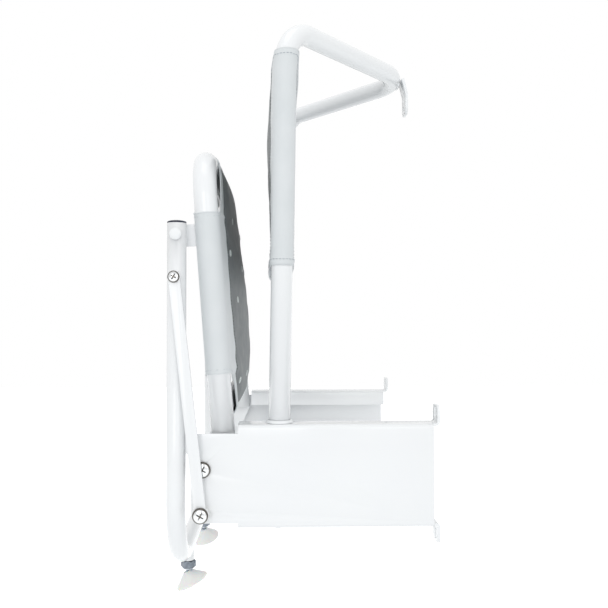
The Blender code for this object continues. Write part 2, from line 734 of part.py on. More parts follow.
def cut_cross_recess(bolts, x_top, y, z, head):
    """A plus-shaped recess in the heads of a pair."""
    long = head * RECESS_SPAN / 2
    short = RECESS_WIDTH / 2
    plus = [
        (long, -short), (long, short), (short, short), (short, long), (-short, long), (-short, short),
        (-long, short), (-long, -short), (-short, -short), (-short, -long), (short, -long), (short, -short),
    ]
    outline = [(y + a, z + b) for a, b in plus]
    for side, bolt in bolts.items():
        bm = bmesh.new()
        add_prism(bm, outline, side * (x_top - RECESS_DEPTH), side * (x_top + RECESS_DEPTH), in_yz)
        cut(bolt, bolt.name + "_recess", bm)


def build_headed_bolts(name, bolt, head, head_height, seat_x, end_x, y, z, parent):
    """Cross-recess bolts whose heads sit at seat_x and whose shanks end at end_x."""
    profile = bolt_profile(bolt, seat_x - end_x, head, head_height)
    bolts = build_pair(name, "chrome", profile, seat_x, y, z, parent)
    cut_cross_recess(bolts, seat_x + head_height, y, z, head)


def lug_face_x():
    """Outer and inner face of the hinge lugs."""
    return SEAT_X + LUG_THICKNESS / 2, SEAT_X - LUG_THICKNESS / 2


def build_hinge_fasteners(parent):
    """Bolt, bush, washer and lock nut of the seat's hinge, from outside to inside."""
    lug_outer, lug_inner = lug_face_x()
    radius = HINGE_BOLT / 2
    bore = radius + HOLE_PLAY
    web_inner = WEB_OUTER_X - SHEET
    bush_length = web_inner - lug_outer - 2 * TOUCH
    washer_x = lug_inner - TOUCH - WASHER_THICKNESS
    nut_x = washer_x - TOUCH
    bolt_end = nut_x - M8_NUT_HEIGHT - BOLT_OVERHANG
    place = (HINGE_Y, HINGE_Z, parent)
    build_headed_bolts("hinge_bolt", HINGE_BOLT, HINGE_HEAD_DIAMETER, HINGE_HEAD_HEIGHT,
                       WEB_OUTER_X + TOUCH, bolt_end, *place)
    build_pair("hinge_bush", "nylon", ring_profile(bore, bore + BUSH_WALL, 0, bush_length),
               lug_outer + TOUCH, *place)
    build_pair("hinge_washer", "zinc_steel",
               ring_profile(bore, HINGE_WASHER_DIAMETER / 2, 0, WASHER_THICKNESS), washer_x, *place)
    build_pair("hinge_nut", "zinc_steel", nut_profile(bore, M8_NUT_FLATS, 0, -M8_NUT_HEIGHT),
               nut_x, *place)


def build_strut_fasteners(parent):
    """Bolt, spacer and lock nut of each strut's lower pivot."""
    bore = STRUT_BOLT / 2 + HOLE_PLAY
    web_inner = WEB_OUTER_X - SHEET
    nut_x = web_inner - TOUCH
    bolt_end = nut_x - M8_NUT_HEIGHT - BOLT_OVERHANG
    spacer_length = STRUT_INNER_X - WEB_OUTER_X - 2 * TOUCH
    place = (STRUT_PIVOT_Y, STRUT_PIVOT_Z, parent)
    build_headed_bolts("strut_bolt", STRUT_BOLT, STRUT_HEAD_DIAMETER, STRUT_HEAD_HEIGHT,
                       STRUT_OUTER_X + TOUCH, bolt_end, *place)
    build_pair("strut_spacer", "nylon",
               ring_profile(bore, bore + STRUT_SPACER_WALL, 0, spacer_length),
               WEB_OUTER_X + TOUCH, *place)
    build_pair("strut_nut", "zinc_steel", nut_profile(bore, M8_NUT_FLATS, 0, -M8_NUT_HEIGHT),
               nut_x, *place)


# Covers.

def cover_ring(half_span, radius, front, rear, place):
    """One closed section of an envelope round two tubes, bulged at mid-width on both faces."""
    points = []
    for i in range(CROWN_STEPS + 1):
        x = half_span * (1 - 2 * i / CROWN_STEPS)
        points.append(place(x, radius + rear * (1 - (x / half_span) ** 2)))
    for i in range(1, END_STEPS):
        angle = math.pi / 2 + math.pi * i / END_STEPS
        points.append(place(-half_span + radius * math.cos(angle), radius * math.sin(angle)))
    for i in range(CROWN_STEPS + 1):
        x = half_span * (2 * i / CROWN_STEPS - 1)
        points.append(place(x, -radius - front * (1 - (x / half_span) ** 2)))
    for i in range(1, END_STEPS):
        angle = -math.pi / 2 + math.pi * i / END_STEPS
        points.append(place(half_span + radius * math.cos(angle), radius * math.sin(angle)))
    return points


def cover_radii(tube):
    """Outer and inner radius of an envelope's rounded edges, with the inner polygon clear of the tube."""
    clear = tube / 2 + COVER_PLAY
    inner = clear / math.cos(math.pi / END_STEPS / 2)
    return clear + COVER_WALL, inner


def upright_bend(z):
    """How far the upright's axis has moved along the V at a height, and how much its section grows."""
    above = min(max(z - (V_HEIGHT_Z - V_CORNER_BEND), 0), V_CORNER_BEND * BEND_SHARE)
    reach = math.sqrt(V_CORNER_BEND ** 2 - above ** 2)
    return V_CORNER_BEND - reach, V_CORNER_BEND / reach


def build_back_cover(parent):
    outer, inner = cover_radii(BACK_TUBE)
    height = BACK_COVER_TOP_Z - BACK_COVER_BOTTOM_Z

    def sections(radius, beyond):
        """Rings from below the lower hem to above the upper one, close together in the tube's bend."""
        bend_start = min(V_HEIGHT_Z - V_CORNER_BEND, BACK_COVER_TOP_Z)
        heights = [BACK_COVER_BOTTOM_Z - beyond]
        straight = bend_start - BACK_COVER_BOTTOM_Z
        for i in range(1, COVER_STATIONS):
            heights.append(BACK_COVER_BOTTOM_Z + straight * i / (COVER_STATIONS - 1))
        for i in range(1, BEND_STATIONS + 1):
            heights.append(bend_start + (BACK_COVER_TOP_Z + beyond - bend_start) * i / BEND_STATIONS)
        rings = []
        for z in heights:
            share = (z - BACK_COVER_BOTTOM_Z) / height
            swell = math.sin(math.pi * min(max(share, 0), 1))
            moved, growth = upright_bend(z)
            y = upright_y(z) + moved * math.sin(V_ANGLE)
            rings.append(cover_ring(UPRIGHT_X - moved * math.cos(V_ANGLE), radius * growth,
                                    BACK_COVER_FRONT_BULGE * swell, BACK_COVER_REAR_BULGE * swell,
                                    lambda x, n: Vector((x, y + n, z))))
        return rings

    bm = bmesh.new()
    add_loft(bm, sections(outer, 0))
    middle = Vector((0, upright_y(BACK_COVER_BOTTOM_Z), BACK_COVER_BOTTOM_Z))
    cover = make_object("back_cover", bm, MATERIALS["grey_fabric"], middle, parent)
    bm = bmesh.new()
    add_loft(bm, sections(inner, TOUCH))
    cut(cover, "back_cover_inside", bm)


def corner_cut_outline(side, half_x, half_sleeve, end, sleeve):
    """A corner taken off the cover along a quarter ellipse, as (X, along the seat).

    It runs from half_sleeve on the cross tube to the sleeve's end on the side tube.
    """
    across = half_x - half_sleeve
    outwards = 1 if end > sleeve else -1
    length = abs(end - sleeve)
    clear = half_x + COVER_CUT_MARGIN
    beyond = end + outwards * COVER_CUT_MARGIN
    outline = []
    for i in range(END_STEPS + 1):
        angle = math.pi / 2 * i / END_STEPS
        x = side * (half_x - across * math.cos(angle))
        outline.append((x, end - outwards * length * math.sin(angle)))
    outline += [(side * clear, sleeve), (side * clear, beyond), (side * half_sleeve, beyond)]
    return outline


def build_seat_cover(parent):
    outer, inner = cover_radii(SEAT_TUBE)
    start = REAR_BAR_ALONG
    end = SEAT_REACH

    def ring(along, radius, shrink):
        share = (along - start) / (end - start)
        swell = math.sin(math.pi * min(max(share, 0), 1))
        return cover_ring(SEAT_X, radius * shrink, SEAT_COVER_FRONT_BULGE * swell,
                          SEAT_COVER_REAR_BULGE * swell,
                          lambda x, n: seat_point(x, along, SEAT_OFFSET + n))

    def sections(radius):
        nose = [NOSE_ANGLE * i / NOSE_STEPS for i in range(NOSE_STEPS + 1)]
        rings = [ring(start - radius * math.sin(a), radius, math.cos(a)) for a in reversed(nose)]
        for i in range(1, COVER_STATIONS - 1):
            rings.append(ring(start + (end - start) * i / (COVER_STATIONS - 1), radius, 1))
        rings += [ring(end + radius * math.sin(a), radius, math.cos(a)) for a in nose]
        return rings

    material = MATERIALS["grey_fabric"]
    bm = bmesh.new()
    add_loft(bm, sections(outer))
    cover = make_object("seat_cover", bm, material, seat_point(0, start, SEAT_OFFSET), parent)
    bm = bmesh.new()
    add_loft(bm, sections(inner))
    cut(cover, "seat_cover_inside", bm)

    tab_along, _ = seat_coordinates(LEG_PIVOT_Y, LEG_PIVOT_Z)
    half_x = SEAT_X + outer
    half_width = TAB_THICKNESS / 2 + 2 * TOUCH
    half_length = LEG_TAB_ROOT / 2 + 2 * TOUCH
    sleeve_end = tab_along + half_length + SLEEVE_PAST_TAB
    bm = bmesh.new()
    for side in SIDES.values():
        for half_sleeve, edge, sleeve in ((FRONT_SLEEVE_HALF, end + outer, sleeve_end),
                                          (REAR_SLEEVE_HALF, start - outer, SLEEVE_START)):
            outline = corner_cut_outline(side, half_x, half_sleeve, edge, sleeve)
            add_prism(bm, outline, SEAT_OFFSET - 2 * SEAT_TUBE, SEAT_OFFSET + 2 * SEAT_TUBE, seat_point)
        low_x, high_x = side * SEAT_X - half_width, side * SEAT_X + half_width
        low, high = tab_along - half_length, tab_along + half_length
        slot = [(low_x, low), (high_x, low), (high_x, high), (low_x, high)]
        add_prism(bm, slot, SEAT_OFFSET - 2 * SEAT_TUBE, SEAT_OFFSET, seat_point)
    cut(cover, "seat_cover_cuts", bm)


# The seat.

def lug_discs(grow=0.0):
    """The hinge lug as discs in (along, behind), grown on all sides by a margin."""
    front = SEAT_OFFSET - SEAT_TUBE / 2
    back = SEAT_OFFSET + SEAT_TUBE / 2 - SEAT_TUBE_WALL
    top = SEAT_TUBE_START + LUG_SLOT_DEPTH
    shoulder = SEAT_TUBE_START - LUG_SHOULDER
    return [
        (0, 0, LUG_END_RADIUS + grow), (-LUG_END_RADIUS, LUG_HEEL_BACK, grow),
        (shoulder, back, grow), (top, back, grow), (top, front, grow),
    ]


def build_hinge_lug(name, side, parent):
    bm = bmesh.new()
    lug_outer, lug_inner = lug_face_x()
    add_prism(bm, wrapped_outline(lug_discs()), side * lug_inner, side * lug_outer, across_seat)
    hinge = Vector((side * SEAT_X, HINGE_Y, HINGE_Z))
    lug = make_object(name, bm, MATERIALS["powder_coated_steel"], hinge, parent)
    bm = bmesh.new()
    add_rod(bm, HINGE_BOLT / 2 + HOLE_PLAY, hinge, Vector((1, 0, 0)), -LUG_THICKNESS, LUG_THICKNESS)
    cut(lug, name + "_hole", bm)


def build_seat_frame(parent):
    corners = [
        seat_point(SEAT_X, SEAT_TUBE_START, SEAT_OFFSET), seat_point(SEAT_X, SEAT_REACH, SEAT_OFFSET),
        seat_point(-SEAT_X, SEAT_REACH, SEAT_OFFSET), seat_point(-SEAT_X, SEAT_TUBE_START, SEAT_OFFSET),
    ]
    bm = bmesh.new()
    add_tube(bm, filleted(corners, SEAT_BEND), SEAT_TUBE / 2, SEAT_TUBE / 2 - SEAT_TUBE_WALL)
    frame = make_object("seat_frame", bm, MATERIALS["powder_coated_steel"],
                        seat_point(0, SEAT_TUBE_START, SEAT_OFFSET), parent)
    bm = bmesh.new()
    half = LUG_THICKNESS / 2 + TOUCH
    for side in SIDES.values():
        outline = wrapped_outline(lug_discs(TOUCH), ROUND_SIDES)
        add_prism(bm, outline, side * SEAT_X - half, side * SEAT_X + half, across_seat)
    cut(frame, "seat_frame_lug_slots", bm)


def build_rear_bar(parent):
    start = seat_point(-SEAT_X, REAR_BAR_ALONG, SEAT_OFFSET)
    end = seat_point(SEAT_X, REAR_BAR_ALONG, SEAT_OFFSET)
    bm = bmesh.new()
    add_tube(bm, [start, end], REAR_BAR_TUBE / 2, REAR_BAR_TUBE / 2 - REAR_BAR_WALL)
    bar = make_object("seat_rear_bar", bm, MATERIALS["powder_coated_steel"], (start + end) / 2, parent)
    bm = bmesh.new()
    along_seat = seat_point(0, 1, 0) - seat_point(0, 0, 0)
    for point in (start, end):
        add_rod(bm, SEAT_TUBE / 2 + TOUCH, point, along_seat, -REAR_BAR_TUBE, REAR_BAR_TUBE, TUBE_SIDES)
    cut(bar, "seat_rear_bar_saddles", bm)


def build_leg_tab(name, side, parent):
    pin_along, pin_behind = seat_coordinates(LEG_PIVOT_Y, LEG_PIVOT_Z)
    root = SEAT_OFFSET - SEAT_TUBE / 2 - TOUCH
    discs = [
        (pin_along, pin_behind, LEG_TAB_RADIUS),
        (pin_along - LEG_TAB_ROOT / 2, root, 0), (pin_along + LEG_TAB_ROOT / 2, root, 0),
    ]
    half = TAB_THICKNESS / 2
    pin = Vector((side * SEAT_X, LEG_PIVOT_Y, LEG_PIVOT_Z))
    bm = bmesh.new()
    add_prism(bm, wrapped_outline(discs), side * SEAT_X - half, side * SEAT_X + half, across_seat)
    tab = make_object(name, bm, MATERIALS["powder_coated_steel"], pin, parent)
    bm = bmesh.new()
    add_rod(bm, LEG_PIN / 2 + HOLE_PLAY, pin, Vector((1, 0, 0)), -TAB_THICKNESS, TAB_THICKNESS)
    cut(tab, name + "_hole", bm)


# The leg and its struts.

def build_leg_frame(parent):
    top = LEG_PIVOT_Z + LEG_TOP_RISE
    corners = [(LEG_X, LEG_PIVOT_Y, top), (LEG_X, LEG_PIVOT_Y, LEG_BAR_Z),
               (-LEG_X, LEG_PIVOT_Y, LEG_BAR_Z), (-LEG_X, LEG_PIVOT_Y, top)]
    bm = bmesh.new()
    add_tube(bm, filleted(corners, LEG_BEND), LEG_TUBE / 2, LEG_TUBE / 2 - LEG_TUBE_WALL)
    leg = make_object("leg_frame", bm, MATERIALS["powder_coated_steel"],
                      Vector((0, LEG_PIVOT_Y, LEG_PIVOT_Z)), parent)
    bm = bmesh.new()
    for side in SIDES.values():
        for y, z, screw in ((LEG_PIVOT_Y, LEG_PIVOT_Z, LEG_PIN), (STRUT_TOP_Y, STRUT_TOP_Z, STRUT_SCREW)):
            add_rod(bm, screw / 2 + HOLE_PLAY, Vector((side * LEG_X, y, z)), Vector((1, 0, 0)),
                    -LEG_TUBE, LEG_TUBE)
        add_rod(bm, STEM_THREAD / 2 + HOLE_PLAY, Vector((side * FOOT_X, LEG_PIVOT_Y, LEG_BAR_Z)),
                Vector((0, 0, -1)), 0, LEG_TUBE)
    cut(leg, "leg_frame_holes", bm)


def build_leg_plug(name, side, parent):
    """A domed plug in the leg's upper end, whose shank stops short of the pin."""
    shank = LEG_TUBE / 2 - LEG_TUBE_WALL - TOUCH
    depth = LEG_TOP_RISE - LEG_PIN / 2 - HOLE_PLAY - TOUCH
    profile = [(0, -depth), (shank, -depth), (shank, TOUCH)] + domed(LEG_TUBE / 2, LEG_PLUG_DOME, TOUCH)
    build_turned(name, "black_plastic", profile,
                 Vector((side * LEG_X, LEG_PIVOT_Y, LEG_PIVOT_Z + LEG_TOP_RISE)), Vector((0, 0, 1)),
                 parent, TUBE_SIDES)


def build_leg_pins(parent):
    """Pin, snap-on cap and lock nut between the seat's tab and the leg."""
    place = (LEG_PIVOT_Y, LEG_PIVOT_Z, parent)
    head_x = LEG_X + LEG_TUBE / 2 + TOUCH
    nut_x = SEAT_X - TAB_THICKNESS / 2 - TOUCH
    end_x = nut_x - M6_NUT_HEIGHT - BOLT_OVERHANG
    inside = PIN_CAP_DIAMETER / 2 - PIN_CAP_WALL
    head_radius = inside - TOUCH
    roof = PIN_HEAD_HEIGHT + TOUCH
    radius = LEG_PIN / 2
    pin = [(0, end_x - head_x), (radius, end_x - head_x), (radius, 0), (head_radius, 0),
           (head_radius, PIN_HEAD_HEIGHT), (0, PIN_HEAD_HEIGHT)]
    build_pair("leg_pin", "zinc_steel", pin, head_x, *place)
    cap = [(0, roof), (inside, roof), (inside, 0)] + domed(PIN_CAP_DIAMETER / 2, PIN_CAP_HEIGHT, 0)
    build_pair("leg_pin_cap", "white_plastic", cap, head_x, *place)
    build_pair("leg_pin_nut", "zinc_steel",
               nut_profile(radius + HOLE_PLAY, M6_NUT_FLATS, 0, -M6_NUT_HEIGHT), nut_x, *place)


def build_strut_screws(parent):
    """Screw, bush and lock nut of each strut's upper pivot, all carried by the leg."""
    place = (STRUT_TOP_Y, STRUT_TOP_Z, parent)
    nut_x = LEG_X - LEG_TUBE / 2 - TOUCH
    end_x = nut_x - M6_NUT_HEIGHT - BOLT_OVERHANG
    bore = STRUT_SCREW / 2 + HOLE_PLAY
    leg_outer = LEG_X + LEG_TUBE / 2
    build_headed_bolts("strut_screw", STRUT_SCREW, SCREW_HEAD_DIAMETER, SCREW_HEAD_HEIGHT,
                       STRUT_OUTER_X + TOUCH, end_x, *place)
    build_pair("strut_bush", "nylon",
               ring_profile(bore, bore + BUSH_WALL, 0, STRUT_BUSH_LENGTH - 2 * TOUCH),
               leg_outer + TOUCH, *place)
    build_pair("strut_screw_nut", "zinc_steel",
               nut_profile(bore, M6_NUT_FLATS, 0, -M6_NUT_HEIGHT), nut_x, *place)


def strut_outline():
    """A straight bar with a round end at each pivot, as (Y, Z)."""
    lower = Vector((STRUT_PIVOT_Y, STRUT_PIVOT_Z))
    upper = Vector((STRUT_TOP_Y, STRUT_TOP_Z))
    along = (upper - lower).normalized()
    across = Vector((-along.y, along.x))
    half = STRUT_WIDTH / 2
    outline = []
    for centre, radius, heading in ((lower, STRUT_LOWER_RADIUS, math.pi), (upper, STRUT_UPPER_RADIUS, 0)):
        swing = math.pi - math.asin(half / radius)
        for a, b in arc((0, 0), radius, heading - swing, heading + swing, ROUND_SIDES):
            point = centre + along * a + across * b
            outline.append((point.x, point.y))
    return outline


def build_strut(name, side, parent):
    bm = bmesh.new()
    add_prism(bm, strut_outline(), side * STRUT_INNER_X, side * STRUT_OUTER_X, in_yz)
    pivot = Vector((side * STRUT_INNER_X, STRUT_PIVOT_Y, STRUT_PIVOT_Z))
    strut = make_object(name, bm, MATERIALS["powder_coated_steel"], pivot, parent)
    bm = bmesh.new()
    for y, z, bolt in ((STRUT_PIVOT_Y, STRUT_PIVOT_Z, STRUT_BOLT), (STRUT_TOP_Y, STRUT_TOP_Z, STRUT_SCREW)):
        add_rod(bm, bolt / 2 + HOLE_PLAY, Vector((side * STRUT_INNER_X, y, z)), Vector((1, 0, 0)),
                -2 * STRUT_THICKNESS, 2 * STRUT_THICKNESS)
    cut(strut, name + "_holes", bm)


# The feet.

def build_foot_boss(side_name, side, parent):
    """The threaded boss under the leg's bar, and the nut that locks the stem against it."""
    bore = STEM_THREAD / 2 + HOLE_PLAY
    down = Vector((0, 0, -1))
    on_bar = Vector((side * FOOT_X, LEG_PIVOT_Y, LEG_BAR_Z))
    tube = ring_profile(bore, BOSS_DIAMETER / 2, 0, LEG_TUBE / 2 + BOSS_LENGTH)
    boss = build_turned(side_name + "_foot_boss", "powder_coated_steel", tube, on_bar, down, parent)
    bm = bmesh.new()
    add_rod(bm, LEG_TUBE / 2 + TOUCH, on_bar, Vector((1, 0, 0)), -BOSS_DIAMETER, BOSS_DIAMETER, TUBE_SIDES)
    cut(boss, side_name + "_foot_boss_saddle", bm)

    half_flats = FOOT_NUT_FLATS / 2
    chamfer_end = FOOT_NUT_HEIGHT - FOOT_NUT_CHAMFER
    nut = [(bore, 0), (half_flats, 0), (half_flats, FOOT_NUT_CHAMFER, "hex"),
           (half_flats, chamfer_end, "hex"), (half_flats, FOOT_NUT_HEIGHT), (bore, FOOT_NUT_HEIGHT)]
    build_turned(side_name + "_foot_lock_nut", "chrome", nut,
                 Vector((side * FOOT_X, LEG_PIVOT_Y, BOSS_BOTTOM_Z - TOUCH)), down, parent)


def build_foot_stem(name, side, parent):
    """A threaded stem with a flange, a thin neck and a ball, in heights above the ball's centre."""
    thread = STEM_THREAD / 2
    neck = STEM_NECK / 2
    ball = BALL_DIAMETER / 2
    flange = STEM_FLANGE / 2
    top = LEG_BAR_Z + STEM_TOP_RISE - BALL_Z
    flange_top = BALL_DROP + STEM_FLANGE_THICKNESS
    neck_angle = math.asin(neck / ball)
    profile = [(0, top), (thread - HOLE_PLAY, top), (thread, top - 2 * HOLE_PLAY), (thread, flange_top),
               (flange, flange_top), (flange, BALL_DROP), (neck, BALL_DROP)]
    for i in range(BALL_STEPS):
        angle = neck_angle + (math.pi - neck_angle) * i / BALL_STEPS
        profile.append((ball * math.sin(angle), ball * math.cos(angle)))
    profile.append((0, -ball))
    bm = bmesh.new()
    centre = Vector((side * FOOT_X, LEG_PIVOT_Y, BALL_Z))
    add_turned(bm, profile, centre, Vector((0, 0, 1)))
    make_object(name, bm, MATERIALS["zinc_steel"], centre, parent)


def cup_profile():
    """The cup's section, as heights above the ball's centre."""
    rim = CUP_RIM / 2
    slope = math.tan(CUP_SLOPE)
    rim_height = CUP_TOP_RISE - (rim - CUP_TOP_RADIUS) / slope
    bottom = rim_height - CUP_LIP
    socket = BALL_DIAMETER / 2 + TOUCH
    throat = socket_mouth(CUP_THROAT_RISE)
    mouth = socket_mouth(CUP_TOP_RISE)
    profile = [
        (mouth, CUP_TOP_RISE), (CUP_TOP_RADIUS, CUP_TOP_RISE), (rim, rim_height),
        (rim, bottom + CUP_LIP_CHAMFER), (rim - CUP_LIP_CHAMFER, bottom), (rim - CUP_LIP, bottom),
        (rim / 2, -CUP_HOLLOW_DROP - CUP_LIP_CHAMFER), (0, -CUP_HOLLOW_DROP), (0, -socket),
    ]
    start = math.acos(CUP_THROAT_RISE / socket)
    for i in range(BALL_STEPS - 1, -1, -1):
        angle = start + (math.pi - start) * i / BALL_STEPS
        profile.append((socket * math.sin(angle), socket * math.cos(angle)))
    profile[-1] = (max(profile[-1][0], throat), CUP_THROAT_RISE)
    return profile


def socket_mouth(height):
    """Radius that lets the stem's neck lean by the mouth angle at a height above the ball's centre."""
    return height * math.tan(CUP_MOUTH_ANGLE) + STEM_NECK / 2 / math.cos(CUP_MOUTH_ANGLE) + TOUCH


def build_suction_cup(name, side_name, side, parent):
    tilt = CUP_REST_TILT[side_name]
    roll = CUP_REST_ROLL[side_name]
    axis = Vector((math.sin(roll), -math.sin(tilt) * math.cos(roll), math.cos(tilt) * math.cos(roll)))
    centre = Vector((side * FOOT_X, LEG_PIVOT_Y, BALL_Z))
    bm = bmesh.new()
    add_turned(bm, cup_profile(), centre, axis)
    make_object(name, bm, MATERIALS["white_rubber"], centre, parent)


# Assembly.

clear_scene()
MATERIALS = {
    "powder_coated_steel": make_material("powder_coated_steel", (0.84, 0.86, 0.88), 0.28),
    "grey_fabric": make_material("grey_fabric", (0.42, 0.45, 0.47), 0.6),
    "white_plastic": make_material("white_plastic", (0.80, 0.82, 0.84), 0.4),
    "black_plastic": make_material("black_plastic", (0.012, 0.014, 0.03), 0.35),
    "nylon": make_material("nylon", (0.75, 0.75, 0.72), 0.5),
    "zinc_steel": make_material("zinc_steel", (0.62, 0.66, 0.70), 0.35, 1.0),
    "chrome": make_material("chrome", (0.78, 0.78, 0.78), 0.12, 1.0),
    "white_rubber": make_material("white_rubber", (0.82, 0.83, 0.80), 0.45),
}

wall_frame = make_pivot("wall_frame", Vector((0, 0, 0)))
seat = make_pivot("seat", Vector((0, HINGE_Y, HINGE_Z)), wall_frame)
leg = make_pivot("leg", Vector((0, LEG_PIVOT_Y, LEG_PIVOT_Z)), seat)

for side_name, side in SIDES.items():
    build_bracket(side_name + "_bracket", side, wall_frame)
    build_upright_fittings(side_name, side, wall_frame)
build_back_frame(wall_frame)
build_wall_plate(wall_frame)
build_hinge_fasteners(wall_frame)
build_strut_fasteners(wall_frame)
build_back_cover(wall_frame)

build_seat_frame(seat)
build_rear_bar(seat)
build_seat_cover(seat)
build_leg_frame(leg)
build_leg_pins(leg)
build_strut_screws(leg)

for side_name, side in SIDES.items():
    build_hinge_lug(side_name + "_hinge_lug", side, seat)
    build_leg_tab(side_name + "_leg_tab", side, seat)
    build_leg_plug(side_name + "_leg_plug", side, leg)
    build_foot_boss(side_name, side, leg)
    strut_pivot = make_pivot(side_name + "_strut_pivot",
                             Vector((side * STRUT_INNER_X, STRUT_PIVOT_Y, STRUT_PIVOT_Z)), wall_frame)
    build_strut(side_name + "_strut", side, strut_pivot)
    ball_centre = Vector((side * FOOT_X, LEG_PIVOT_Y, BALL_Z))
    foot = make_pivot(side_name + "_foot", ball_centre, leg)
    build_foot_stem(side_name + "_foot_stem", side, foot)
    cup = make_pivot(side_name + "_cup", ball_centre, foot)
    build_suction_cup(side_name + "_suction_cup", side_name, side, cup)
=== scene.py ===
# %% [markdown]
# # A wall-mounted shower seat, folded up
# The seat hangs on two sheet-steel brackets. Its tube frames are powder coated white, and fabric
# covers are drawn over the seat and the back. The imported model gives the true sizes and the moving
# bodies, so this lesson dresses it: smooth tubes, real fabric, turned fasteners and their finishes.

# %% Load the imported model
import json
import math

import bmesh
import bpy
import numpy as np
from mathutils import Matrix, Vector, noise


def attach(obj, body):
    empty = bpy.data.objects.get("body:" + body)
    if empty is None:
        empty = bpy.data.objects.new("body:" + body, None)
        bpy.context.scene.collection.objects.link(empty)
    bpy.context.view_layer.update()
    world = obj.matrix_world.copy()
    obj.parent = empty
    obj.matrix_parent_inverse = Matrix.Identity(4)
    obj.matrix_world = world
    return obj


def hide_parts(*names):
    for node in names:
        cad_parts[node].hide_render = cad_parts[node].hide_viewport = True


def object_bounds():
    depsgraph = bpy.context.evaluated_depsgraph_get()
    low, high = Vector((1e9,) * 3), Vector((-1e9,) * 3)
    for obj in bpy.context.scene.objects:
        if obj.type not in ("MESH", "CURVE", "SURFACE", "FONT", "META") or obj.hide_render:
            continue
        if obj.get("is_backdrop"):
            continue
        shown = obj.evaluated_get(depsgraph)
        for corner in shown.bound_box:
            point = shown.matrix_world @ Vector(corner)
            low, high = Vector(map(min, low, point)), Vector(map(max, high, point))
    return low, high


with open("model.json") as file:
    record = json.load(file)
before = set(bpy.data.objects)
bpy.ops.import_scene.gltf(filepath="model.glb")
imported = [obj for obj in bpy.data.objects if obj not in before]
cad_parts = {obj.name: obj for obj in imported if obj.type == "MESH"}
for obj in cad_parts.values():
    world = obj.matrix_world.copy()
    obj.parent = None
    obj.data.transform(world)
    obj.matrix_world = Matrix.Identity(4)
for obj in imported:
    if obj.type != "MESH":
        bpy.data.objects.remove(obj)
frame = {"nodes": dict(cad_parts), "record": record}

cad_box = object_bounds()
MM = 0.001
NODES = frame["nodes"]
SIDES = {"left": 1, "right": -1}

# %% [markdown]
# ## Three small helpers
# Colours are picked as sRGB hex values, as a paint chart gives them, but Blender's sockets hold
# linear values, so one function turns one into the other. A second function adds a node, sets it
# and links it, which keeps each material and each Geometry Nodes tree short enough to read. A third
# puts an object into the scene.

# %% Colours, nodes and objects
def linear(hex_colour):
    """An sRGB hex colour as the linear RGBA that a socket holds."""
    values = [int(hex_colour[i:i + 2], 16) / 255 for i in (1, 3, 5)]
    return [v / 12.92 if v <= 0.04045 else ((v + 0.055) / 1.055) ** 2.4 for v in values] + [1.0]


def add_node(tree, kind, inputs=None, **settings):
    """A node with its settings. Each input takes a value, or a socket to link from."""
    node = tree.nodes.new(kind)
    for name, value in settings.items():
        setattr(node, name, value)
    for key, value in (inputs or {}).items():
        if isinstance(value, bpy.types.NodeSocket):
            tree.links.new(value, node.inputs[key])
        else:
            node.inputs[key].default_value = value
    return node


def add_object(name, data):
    """A new object in the scene."""
    made = bpy.data.objects.new(name, data)
    bpy.context.scene.collection.objects.link(made)
    return made


# %% [markdown]
# ## Camera
# The photograph was taken square to the side of the seat, from about 85 cm, a little below its
# middle. The vanishing point of the cross tubes gives the direction, and the sizes of the near and
# the far bracket give the distance.

# %% Camera
def aim(thing, place, towards):
    """Puts a camera or a lamp at a place and turns it towards another."""
    thing.location = place
    thing.rotation_euler = (Vector(towards) - Vector(place)).to_track_quat("-Z", "Y").to_euler()


CAMERA_PLACE = Vector((1.075, -0.1877, -0.325))
CAMERA_YAW = math.radians(1.94)
CAMERA_PITCH = math.radians(1.32)
LENS = 43.58  # in the camera's own millimetres, as is the sensor
SENSOR_WIDTH = 36
view_line = Vector((-math.cos(CAMERA_YAW) * math.cos(CAMERA_PITCH),
                    math.sin(CAMERA_YAW) * math.cos(CAMERA_PITCH), math.sin(CAMERA_PITCH)))
camera = add_object("camera", bpy.data.cameras.new("camera"))
aim(camera, CAMERA_PLACE, CAMERA_PLACE + view_line)
camera.data.lens = LENS
camera.data.sensor_width = SENSOR_WIDTH
camera.data.clip_start = 10 * MM
bpy.context.scene.camera = camera
print("camera at", [round(v, 3) for v in CAMERA_PLACE])

# %% [markdown]
# ## Floor, world and lamps
# The photograph has a pure white ground and soft, almost shadowless light, with the brightest side
# towards the front of the seat. The world is white where the camera, glass or metal sees it, and
# greyer as a light. A large lamp at the front left draws the struts' soft shadows on the bracket, a
# weaker one on the wall's side fills them, and one overhead lifts the upper edges.

# %% The world
bpy.context.scene.view_settings.view_transform = "Standard"
WORLD_LIGHT = 0.85


def white_rays(tree):
    """1 for what the camera, a mirror or glass sees, and 0 for the light that a surface gathers."""
    path = add_node(tree, "ShaderNodeLightPath").outputs
    clear = add_node(tree, "ShaderNodeMath", {0: path["Is Camera Ray"], 1: path["Is Transmission Ray"]},
                     operation="MAXIMUM")
    seen = add_node(tree, "ShaderNodeMath", {0: clear.outputs[0], 1: path["Is Glossy Ray"]},
                    operation="MAXIMUM")
    return seen.outputs[0]


world = bpy.data.worlds.new("studio")
bpy.context.scene.world = world
world.use_nodes = True
tree = world.node_tree
tree.nodes.clear()
seen = white_rays(tree)
grey = add_node(tree, "ShaderNodeBackground", {"Color": linear("#FAFAFA"), "Strength": WORLD_LIGHT})
white = add_node(tree, "ShaderNodeBackground", {"Color": (1, 1, 1, 1), "Strength": 1.0})
mixed = add_node(tree, "ShaderNodeMixShader", {0: seen, 1: grey.outputs[0], 2: white.outputs[0]})
add_node(tree, "ShaderNodeOutputWorld", {"Surface": mixed.outputs[0]})
print("world light", WORLD_LIGHT)

